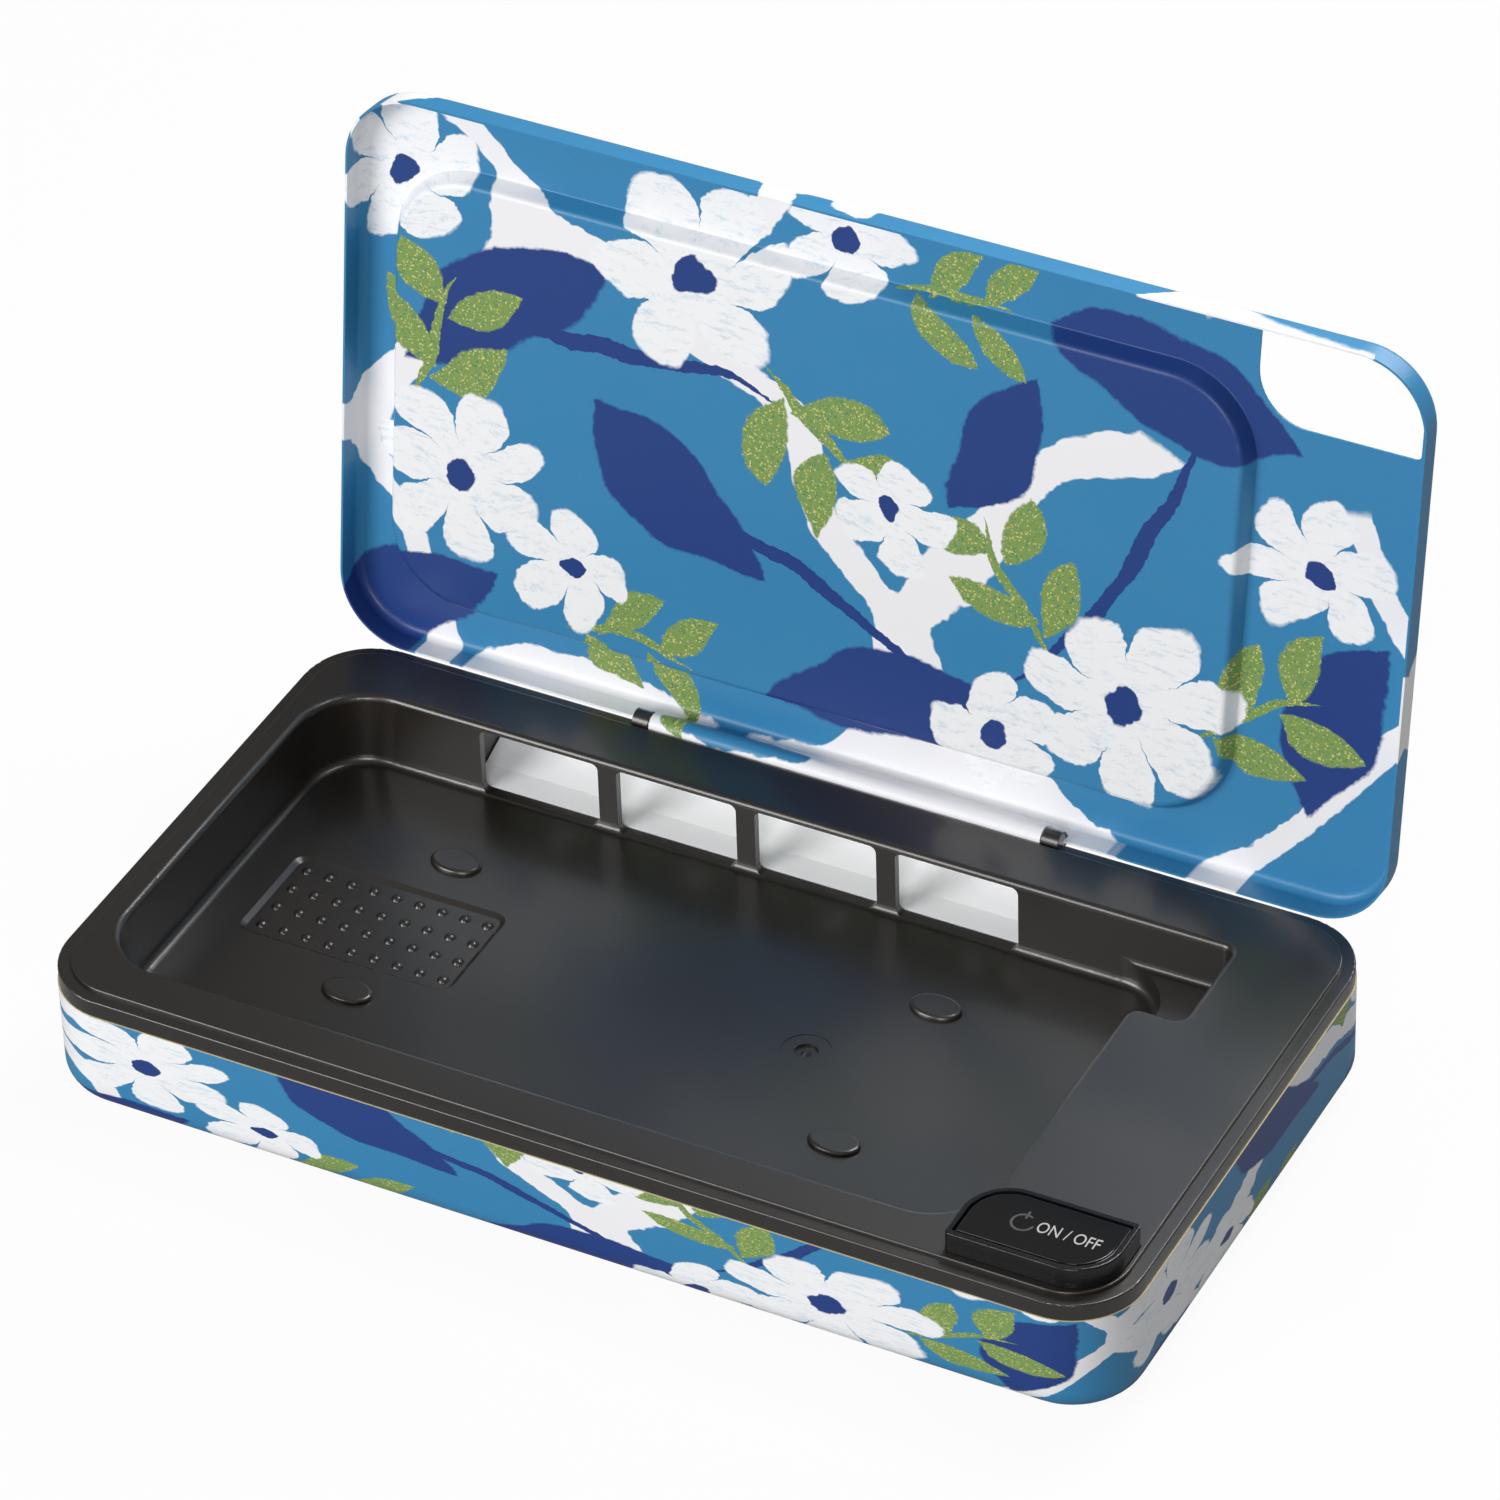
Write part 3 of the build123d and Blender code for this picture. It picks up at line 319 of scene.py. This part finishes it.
# Grain of each ink: paper tooth in the blue, gold and dark glitter in the green, dry brush over the petals
gold_from = 0.88
dark_from = 0.9
glitter_sharpness = 40.0
bristle_gap = 0.53
bristle_sharpness = 7.0
tooth = noise(garden, garden_given["Sheet"], 1.6, 3.0, 0.7)["Fac"]
wash = noise(garden, garden_given["Sheet"], 0.05, 3.0)["Fac"]
glitter = node(garden, "ShaderNodeTexVoronoi", {"Vector": garden_given["Sheet"], "Scale": 3.6})
glint = node(garden, "ShaderNodeSeparateColor", {0: glitter.outputs["Color"]}).outputs
gold_glint = edge(garden, maths(garden, "SUBTRACT", glint[0], gold_from), glitter_sharpness)
dark_glint = edge(garden, maths(garden, "SUBTRACT", glint[1], dark_from), glitter_sharpness)
bristles = node(
    garden, "ShaderNodeMapping", {"Vector": drawn, "Rotation": (0.0, 0.0, 0.5), "Scale": (0.22, 1.0, 1.0)})
streaks = noise(garden, bristles.outputs[0], 0.9, 6.0, 0.8)["Fac"]
dry = edge(garden, maths(garden, "SUBTRACT", streaks, bristle_gap), bristle_sharpness)

# How strongly each grain tints its ink
blue_tooth = maths(garden, "MULTIPLY", tooth, 0.45)
blue_wash = maths(garden, "MULTIPLY", wash, 0.25)
navy_tooth = maths(garden, "MULTIPLY", tooth, 0.3)
petal_streaks = maths(garden, "MULTIPLY", dry, 0.6)

bare_ground = ink(244, 244, 247)
blue = laid_over(garden, blue_tooth, ink(56, 136, 184), ink(38, 110, 160))
blue = laid_over(garden, blue_wash, blue, ink(74, 146, 192))
navy = laid_over(garden, navy_tooth, ink(36, 66, 134), ink(24, 50, 112))
green = laid_over(garden, tooth, ink(112, 144, 74), ink(144, 168, 96))
green = laid_over(garden, gold_glint, green, ink(208, 204, 128))
green = laid_over(garden, dark_glint, green, ink(78, 138, 104))
petal_white = laid_over(garden, petal_streaks, ink(247, 248, 250), ink(164, 200, 220))

# The pools go on first, and the other inks over them in this order:
# where each is drawn, its shape, its places, the sharpness of its outline, and its colour
pool_outline_sharpness = 14.0
layers = [
    (drawn, leaf_shape, navy_places, 14.0, navy),
    (drawn, leaf_shape, green_places, 10.0, green),
    (petals_drawn, daisy_shape, daisy_places, 24.0, petal_white),
    (petals_drawn, daisy_shape, heart_places, 12.0, navy),
]
more_pools = printed(garden, drawn, leaf_shape, pool_places, pool_outline_sharpness)
pools = maths(garden, "MAXIMUM", pools, more_pools)
colour = laid_over(garden, pools, bare_ground, blue)
for sheet, shape, places, sharpness, tint in layers:
    colour = laid_over(garden, printed(garden, sheet, shape, places, sharpness), colour, tint)
node(garden, "NodeGroupOutput", {0: colour})


def finish(name):
    """A new finish: its material, its node tree, its surface shader, and each point's place in metres."""
    made = bpy.data.materials.new(name)
    made.use_nodes = True
    tree = made.node_tree
    return made, tree, tree.nodes["Principled BSDF"], node(tree, "ShaderNodeTexCoord").outputs["Object"]


def rippled(tree, shader, height, strength, depth):
    """Gives a surface a fine relief, whose depth is in metres."""
    bump = node(tree, "ShaderNodeBump", {"Height": height, "Strength": strength, "Distance": depth})
    tree.links.new(bump.outputs[0], shader.inputs["Normal"])


def wear(cad_node, made):
    """Gives a CAD piece its finish."""
    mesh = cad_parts[cad_node].data
    mesh.materials.clear()
    mesh.materials.append(made)


def lacquer(tree, shader, colour, point):
    """Clear satin lacquer over the inks, with the faint orange peel of a stoved coat."""
    tree.links.new(colour, shader.inputs["Base Color"])
    shader.inputs["Roughness"].default_value = 0.4
    shader.inputs["Specular IOR Level"].default_value = 0.35
    shader.inputs["Coat Weight"].default_value = 0.12
    shader.inputs["Coat Roughness"].default_value = 0.22
    rippled(tree, shader, noise(tree, point, 900.0)["Fac"], strength=0.04, depth=0.0002)


# ---------------------------------------------------------------- lid
# Drawn tinplate lid with a pressed-in panel, printed on both faces. Its tongue is curled round the
# hinge wire. Lengths on the lid are in millimetres, along and up from the wire.
hinge_place = (0.0, 0.05345, 0.02525)
lid_lean = math.radians(82.0)
lid_depth = 6.0
side_bend = (97.0, 99.6)
front_bend = (103.9, 106.5)
millimetre = 0.001
lid_print, tree, shader, point = finish("printed_lid")
from_wire = {
    "Vector": point, "Location": hinge_place, "Rotation": (lid_lean, 0.0, 0.0), "Scale": (millimetre,) * 3}
on_lid = node(tree, "ShaderNodeMapping", from_wire, vector_type="TEXTURE")
lid_axes = node(tree, "ShaderNodeSeparateXYZ", {0: on_lid.outputs[0]}).outputs
# On the side walls the print runs on over the edge instead of streaking
from_face = maths(tree, "ADD", lid_axes[2], lid_depth)
off_middle = maths(tree, "ABSOLUTE", lid_axes[0])
on_side = node(tree, "ShaderNodeMapRange", {0: off_middle, 1: side_bend[0], 2: side_bend[1]})
down_side = maths(tree, "MULTIPLY", on_side.outputs[0], from_face)
past_side = maths(tree, "MULTIPLY", down_side, maths(tree, "SIGN", lid_axes[0]))
on_front = node(tree, "ShaderNodeMapRange", {0: lid_axes[1], 1: front_bend[0], 2: front_bend[1]})
past_front = maths(tree, "MULTIPLY", on_front.outputs[0], from_face)
lid_sheet = node(
    tree, "ShaderNodeCombineXYZ",
    {0: maths(tree, "ADD", lid_axes[0], past_side), 1: maths(tree, "ADD", lid_axes[1], past_front)},
).outputs[0]
lid_colour = node(tree, "ShaderNodeGroup", node_tree=garden)
tree.links.new(lid_sheet, lid_colour.inputs["Sheet"])
tree.links.new(lid_sheet, lid_colour.inputs["Ground"])
lacquer(tree, shader, lid_colour.outputs["Color"], point)
wear("lid", lid_print)

# ---------------------------------------------------------------- tin base
# Drawn tinplate base in the same print, wrapped round its four sides. Its cut edge is bare at the top,
# and its underside is plain white lacquer. Lengths on it are in millimetres.
base_half_width = 53.45
sheet_length = 200.0
sheet_start = 8.0
sheet_squeeze = 2.0
underside_top = 1.75
underside_sharpness = 8.0
cut_edge_bottom = 21.8
cut_edge_sharpness = 20.0
base_print, tree, shader, point = finish("printed_base")
in_millimetres = node(
    tree, "ShaderNodeVectorMath", {0: point, "Scale": 1.0 / millimetre}, operation="SCALE")
base_axes = node(tree, "ShaderNodeSeparateXYZ", {0: in_millimetres.outputs[0]}).outputs
# The sheet is measured round the sides from the middle of the front, and is squeezed up them
round_side = maths(tree, "ADD", maths(tree, "ADD", base_axes[0], base_axes[1]), base_half_width)
up_side = maths(tree, "MULTIPLY_ADD", base_axes[2], sheet_squeeze, sheet_start)
from_start = maths(tree, "ADD", round_side, sheet_length / 2)
from_seam = maths(tree, "FLOORED_MODULO", from_start, sheet_length)
wrapped = maths(tree, "SUBTRACT", from_seam, sheet_length / 2)
base_sheet = node(tree, "ShaderNodeCombineXYZ", {0: wrapped, 1: up_side}).outputs[0]
base_ground = node(tree, "ShaderNodeCombineXYZ", {0: round_side, 1: up_side}).outputs[0]
base_colour = node(tree, "ShaderNodeGroup", node_tree=garden)
tree.links.new(base_sheet, base_colour.inputs["Sheet"])
tree.links.new(base_ground, base_colour.inputs["Ground"])
underneath = edge(tree, maths(tree, "SUBTRACT", underside_top, base_axes[2]), underside_sharpness)
cut_edge = edge(tree, maths(tree, "SUBTRACT", base_axes[2], cut_edge_bottom), cut_edge_sharpness)
colour = laid_over(tree, underneath, base_colour.outputs["Color"], ink(236, 236, 232))
colour = laid_over(tree, cut_edge, colour, ink(226, 214, 170))
lacquer(tree, shader, colour, point)
wear("tin_base", base_print)

# ---------------------------------------------------------------- insert tray
# One black moulding in glossy ABS, dropped into the tin: rim, ledge, deck, basin, trough and hinge lugs.
# A little dust sits on it, as it does on any black plastic.
dust_grey = (170, 170, 168)
dust_cells = 260.0
dust_radius = 0.05
dust_sharpness = 40.0
swatch_spread = 3
gloss_spread = 0.04


def moulded(name, swatch, roughness, grain_scale, grain_depth, dust=0.0, polish=0.0):
    """Moulded plastic with a fine even grain, and a gloss that varies a little over the surface."""
    made, tree, shader, point = finish(name)
    cloud = noise(tree, point, 35.0, 3.0)["Fac"]
    darker = ink(*(c - swatch_spread for c in swatch))
    lighter = ink(*(c + swatch_spread for c in swatch))
    shade = laid_over(tree, cloud, darker, lighter)
    if dust:
        cells = node(tree, "ShaderNodeTexVoronoi", {"Vector": point, "Scale": dust_cells})
        lot = node(tree, "ShaderNodeSeparateColor", {0: cells.outputs["Color"]}).outputs
        in_speck = maths(tree, "SUBTRACT", dust_radius, cells.outputs["Distance"])
        speck = edge(tree, in_speck, dust_sharpness)
        speck = maths(tree, "MULTIPLY", speck, maths(tree, "LESS_THAN", lot[0], dust))
        shade = laid_over(tree, speck, shade, ink(*dust_grey))
    tree.links.new(shade, shader.inputs["Base Color"])
    gloss_range = {0: cloud, 3: roughness - gloss_spread, 4: roughness + gloss_spread}
    gloss = node(tree, "ShaderNodeMapRange", gloss_range)
    tree.links.new(gloss.outputs[0], shader.inputs["Roughness"])
    shader.inputs["Specular IOR Level"].default_value = 0.5 + 0.3 * polish
    shader.inputs["Coat Weight"].default_value = polish
    shader.inputs["Coat Roughness"].default_value = 0.2
    rippled(tree, shader, noise(tree, point, grain_scale)["Fac"], strength=0.15, depth=grain_depth)
    return made


tray_black = moulded("black_moulding", (28, 22, 16), 0.38, 2000.0, 0.00004, dust=0.05, polish=0.65)
wear("insert_tray", tray_black)

# ---------------------------------------------------------------- reflector and lamps
# A strip of white-coated aluminium is folded along the trough behind the four windows. Its coat is given a
# faint painted glow that brightens the windows. Over it hangs the lamp board, with four ceramic
# ultraviolet lamps that look down on it.
painted_glow = 0.11
white_coat, tree, shader, point = finish("white_coat")
coat_cloud = noise(tree, point, 120.0)["Fac"]
coat_colour = laid_over(tree, coat_cloud, (0.9, 0.9, 0.91, 1.0), (0.95, 0.95, 0.96, 1.0))
tree.links.new(coat_colour, shader.inputs["Base Color"])
shader.inputs["Roughness"].default_value = 0.35
# Painted glow: the coat gives off a little light of its own, although it is no lamp, so the windows read
# brighter
shader.inputs["Emission Color"].default_value = (0.95, 0.96, 1.0, 1.0)
shader.inputs["Emission Strength"].default_value = painted_glow
wear("reflector", white_coat)


def circuit_board(name, track_scale):
    """Green solder mask over copper tracks, with the glass weave just showing."""
    made, tree, shader, point = finish(name)
    tracks = node(tree, "ShaderNodeTexBrick", {
        "Vector": point, "Scale": track_scale, "Mortar Size": 0.035, "Mortar Smooth": 0.1, "Bias": 0.0,
        "Brick Width": 3.7, "Row Height": 0.22,
    }, offset=0.37).outputs["Fac"]
    weave = noise(tree, point, 4000.0)["Fac"]
    mask = laid_over(tree, maths(tree, "MULTIPLY", weave, 0.4), ink(24, 92, 52), ink(18, 70, 42))
    mask = laid_over(tree, tracks, mask, ink(40, 112, 62))
    tree.links.new(mask, shader.inputs["Base Color"])
    shader.inputs["Roughness"].default_value = 0.32
    rippled(tree, shader, tracks, strength=0.3, depth=0.00005)
    return made


wear("uv_led_board", circuit_board("lamp_board_mask", 240.0))

lens_bottom_z = 0.0222
lens_sharpness = 20000.0
lamp_ceramic, tree, shader, point = finish("lamp_ceramic")
lamp_height = node(tree, "ShaderNodeSeparateXYZ", {0: point}).outputs[2]
in_lens = edge(tree, maths(tree, "SUBTRACT", lens_bottom_z, lamp_height), lens_sharpness)
sinter = noise(tree, point, 1500.0)["Fac"]
body = laid_over(tree, sinter, ink(232, 226, 198), ink(242, 238, 216))
tree.links.new(laid_over(tree, in_lens, body, ink(214, 218, 236)), shader.inputs["Base Color"])
lens_polish = node(tree, "ShaderNodeMapRange", {0: in_lens, 3: 0.5, 4: 0.08})
tree.links.new(lens_polish.outputs[0], shader.inputs["Roughness"])
wear("uv_leds", lamp_ceramic)

white_nylon = moulded("white_nylon", (214, 214, 208), 0.45, 1500.0, 0.00005)
wear("lamp_socket", white_nylon)

# ---------------------------------------------------------------- button
# A polished smoky frame on the deck holds the push cap. The cap carries a glossy label film with a grey
# power mark and two white words, and a clear light guide runs down from it to the lamp on the board.
wear("button_bezel", moulded("smoky_frame", (20, 20, 22), 0.2, 2500.0, 0.0004, dust=0.3))
wear("button_cap", moulded("cap_moulding", (26, 26, 28), 0.2, 2500.0, 0.00004))
wear("switch_plunger", white_nylon)

label_film, tree, shader, point = finish("label_film")
haze = noise(tree, point, 60.0, 3.0)["Fac"]
tree.links.new(laid_over(tree, haze, ink(14, 14, 16), ink(26, 25, 24)), shader.inputs["Base Color"])
shader.inputs["Roughness"].default_value = 0.1
shader.inputs["Coat Weight"].default_value = 0.3
shader.inputs["Coat Roughness"].default_value = 0.05
rippled(tree, shader, haze, strength=0.1, depth=0.0004)
wear("button_label", label_film)

clear_acrylic, tree, shader, point = finish("clear_acrylic")
shader.inputs["Base Color"].default_value = (0.95, 0.96, 0.96, 1.0)
shader.inputs["Transmission Weight"].default_value = 1.0
shader.inputs["IOR"].default_value = 1.49
guide_frost = node(tree, "ShaderNodeMapRange", {0: noise(tree, point, 400.0)["Fac"], 3: 0.1, 4: 0.3})
tree.links.new(guide_frost.outputs[0], shader.inputs["Roughness"])
wear("light_guide", clear_acrylic)

ink_thickness = 0.00002
mark_along_label = 0.36
words_along_label = 0.68
label_low, label_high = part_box("button_label")
label_length = label_high[0] - label_low[0]
label_middle_y = (label_low[1] + label_high[1]) / 2
label_top = label_high[2]


def printing(name, swatch):
    """Screen printing ink, a little uneven."""
    worn_share = 0.85
    made, tree, shader, point = finish(name)
    patchy = noise(tree, point, 3000.0)["Fac"]
    worn = ink(*(c * worn_share for c in swatch))
    tree.links.new(laid_over(tree, patchy, ink(*swatch), worn), shader.inputs["Base Color"])
    shader.inputs["Roughness"].default_value = 0.45
    return made


def lay_on_label(piece, name, place, made):
    """Ends a printed mark: laid on the label at a place, a hair thick, and riding on the button."""
    piece.name = name
    piece.location = place
    bpy.ops.object.transform_apply(location=True, rotation=True, scale=True)
    film = piece.modifiers.new("film", "SOLIDIFY")
    film.thickness = ink_thickness
    film.offset = 1.0
    bpy.ops.object.modifier_apply(modifier=film.name)
    piece.data.materials.clear()
    piece.data.materials.append(made)
    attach(piece, "button")


# Power mark: an open ring with a bar in its gap
grey_ink = printing("grey_ink", (74, 74, 76))
mark_place = (label_low[0] + mark_along_label * label_length, label_middle_y, label_top)
stroke = 0.0004
ring_radius = 0.0019
ring_opening = math.radians(64.0)
ring_sweep = 2.0 * math.pi - ring_opening
ring_steps = 40
ring_slice = 0.1
bar_length = 0.0018

bpy.ops.object.select_all(action="DESELECT")
bpy.ops.mesh.primitive_plane_add(size=stroke, location=(0.0, 0.0, 0.0))
power_ring = bpy.context.object
bpy.ops.object.mode_set(mode="EDIT")
bpy.ops.mesh.select_mode(type="VERT")
bpy.ops.mesh.select_all(action="SELECT")
bpy.ops.transform.resize(value=(ring_slice, 1.0, 1.0))
bpy.ops.transform.translate(value=(0.0, ring_radius, 0.0))
bpy.ops.transform.rotate(value=ring_opening / 2, orient_axis="Z", center_override=(0.0, 0.0, 0.0))
bpy.ops.mesh.spin(steps=ring_steps, angle=ring_sweep, center=(0.0, 0.0, 0.0), axis=(0.0, 0.0, -1.0))
bpy.ops.mesh.select_all(action="SELECT")
bpy.ops.mesh.remove_doubles(threshold=0.000001)
bpy.ops.mesh.normals_make_consistent(inside=False)
bpy.ops.object.mode_set(mode="OBJECT")
lay_on_label(power_ring, "power_mark_ring", mark_place, grey_ink)

bpy.ops.object.select_all(action="DESELECT")
bpy.ops.mesh.primitive_plane_add(size=stroke, location=(0.0, 0.0, 0.0))
power_bar = bpy.context.object
bpy.ops.object.mode_set(mode="EDIT")
bpy.ops.mesh.select_all(action="SELECT")
bpy.ops.transform.resize(value=(1.0, bar_length / stroke, 1.0))
bpy.ops.transform.translate(value=(0.0, ring_radius, 0.0))
bpy.ops.mesh.subdivide(number_cuts=2)
bpy.ops.object.mode_set(mode="OBJECT")
lay_on_label(power_bar, "power_mark_bar", mark_place, grey_ink)

# The two words, as on any switch
letter_height = 0.0037
letter_narrowing = 0.72
bpy.ops.object.select_all(action="DESELECT")
bpy.ops.object.text_add(location=(0.0, 0.0, 0.0))
words = bpy.context.object
words.data.body = "ON / OFF"
words.data.size = letter_height
words.data.align_x = "CENTER"
words.data.align_y = "CENTER"
words.data.resolution_u = 4
bpy.ops.object.convert(target="MESH")
words = bpy.context.object
words.scale = (letter_narrowing, 1.0, 1.0)
words_place = (label_low[0] + words_along_label * label_length, label_middle_y, label_top)
lay_on_label(words, "switch_words", words_place, printing("white_ink", (200, 200, 200)))

# ---------------------------------------------------------------- hinge wire
# Drawn steel wire through the lid's curled tongue. The tray's two lugs hold it at its ends, and the
# tongue turns on it.


def metal(name, light, roughness, grain_scale, grain=(1.0, 1.0, 1.0)):
    """Bare metal with fine drawing or turning marks that run along one direction."""
    mark_shade = 0.8
    mark_gloss = 0.08
    made, tree, shader, point = finish(name)
    drawn_out = node(tree, "ShaderNodeMapping", {"Vector": point, "Scale": grain}).outputs[0]
    marks = noise(tree, drawn_out, grain_scale, 3.0)["Fac"]
    dull = tuple(mark_shade * c for c in light) + (1.0,)
    tree.links.new(laid_over(tree, marks, light + (1.0,), dull), shader.inputs["Base Color"])
    shader.inputs["Metallic"].default_value = 1.0
    gloss_range = {0: marks, 3: roughness - mark_gloss, 4: roughness + mark_gloss}
    gloss = node(tree, "ShaderNodeMapRange", gloss_range)
    tree.links.new(gloss.outputs[0], shader.inputs["Roughness"])
    rippled(tree, shader, marks, strength=0.1, depth=0.00003)
    return made


wear("hinge_pin", metal("steel_wire", (0.62, 0.62, 0.63), 0.3, 1500.0, (0.03, 1.0, 1.0)))

# ---------------------------------------------------------------- power inlet
# A black moulded bezel in the rear wall, round the mouth of a folded steel socket. Inside the socket
# is a black tongue.
wear("usb_bezel", moulded("inlet_moulding", (30, 30, 31), 0.4, 2500.0, 0.00005))

socket_steel = metal("socket_steel", (0.66, 0.66, 0.67), 0.28, 900.0, (1.0, 0.1, 1.0))
tree = socket_steel.node_tree
shader = tree.nodes["Principled BSDF"]
socket_low, socket_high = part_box("usb_socket")
socket_middle = [(low + high) / 2 for low, high in zip(socket_low, socket_high)]
tongue_half_length = 0.0034
tongue_half_height = 0.0004
socket_point = node(tree, "ShaderNodeTexCoord").outputs["Object"]
centred = node(tree, "ShaderNodeVectorMath", {0: socket_point, 1: socket_middle}, operation="SUBTRACT")
offset = node(tree, "ShaderNodeVectorMath", {0: centred.outputs[0]}, operation="ABSOLUTE")
off_axes = node(tree, "ShaderNodeSeparateXYZ", {0: offset.outputs[0]}).outputs
in_length = maths(tree, "LESS_THAN", off_axes[0], tongue_half_length)
in_height = maths(tree, "LESS_THAN", off_axes[2], tongue_half_height)
in_tongue = maths(tree, "MULTIPLY", in_length, in_height)
steel_colour = shader.inputs["Base Color"].links[0].from_socket
tree.links.new(laid_over(tree, in_tongue, steel_colour, ink(26, 26, 27)), shader.inputs["Base Color"])
tree.links.new(maths(tree, "SUBTRACT", 1.0, in_tongue), shader.inputs["Metallic"])
wear("usb_socket", socket_steel)

# ---------------------------------------------------------------- control board
# A green board under the right-hand deck. It carries the button's switch, the lamp of the light guide, the
# driver chip, the boost coil, two capacitors, and a sensor that feels the closed lid.
wear("control_board", circuit_board("control_board_mask", 150.0))
wear("control_chip", moulded("chip_epoxy", (34, 34, 35), 0.55, 2500.0, 0.00006))
wear("lid_sensor", moulded("sensor_epoxy", (38, 37, 36), 0.5, 2500.0, 0.00006))
wear("tact_switch", moulded("switch_moulding", (30, 30, 32), 0.45, 2500.0, 0.00006))
wear("board_socket", white_nylon)
wear("indicator_led", lamp_ceramic)
wear("capacitors", metal("can_aluminium", (0.72, 0.72, 0.74), 0.35, 700.0, (1.0, 1.0, 0.05)))

coil_low, coil_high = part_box("boost_coil")
coil_middle_z = (coil_low[2] + coil_high[2]) / 2
winding_half = 0.0015
ferrite, tree, shader, point = finish("ferrite_and_copper")
coil_height = node(tree, "ShaderNodeSeparateXYZ", {0: point}).outputs[2]
off_centre = maths(tree, "ABSOLUTE", maths(tree, "SUBTRACT", coil_height, coil_middle_z))
in_winding = maths(tree, "LESS_THAN", off_centre, winding_half)
winding = node(tree, "ShaderNodeTexWave", {"Vector": point, "Scale": 420.0}, bands_direction="Z")
turns = winding.outputs["Fac"]
copper = laid_over(tree, turns, ink(122, 58, 30), ink(206, 120, 70))
pressed = laid_over(tree, noise(tree, point, 1800.0)["Fac"], ink(52, 52, 55), ink(66, 66, 68))
tree.links.new(laid_over(tree, in_winding, pressed, copper), shader.inputs["Base Color"])
tree.links.new(in_winding, shader.inputs["Metallic"])
shader.inputs["Roughness"].default_value = 0.42
rippled(tree, shader, turns, strength=0.3, depth=0.0001)
wear("boost_coil", ferrite)

# ---------------------------------------------------------------- lead
# A short grey lead in soft PVC. It plugs into a socket on the control board and into one on the
# lamp board.
wear("led_cable", moulded("lead_sheath", (170, 170, 172), 0.5, 900.0, 0.0001))

# ---------------------------------------------------------------- screws and feet
# Zinc-plated screws hold the board to the tray and the tray to the tin. Rubber feet are glued over the
# heads of the base screws, with three more at the right-hand end and in the middle.
zinc_plate = metal("zinc_plate", (0.6, 0.61, 0.63), 0.34, 1200.0)
wear("board_screws", zinc_plate)
wear("base_screws", zinc_plate)
wear("rubber_feet", moulded("foot_rubber", (36, 36, 36), 0.8, 1200.0, 0.00012))
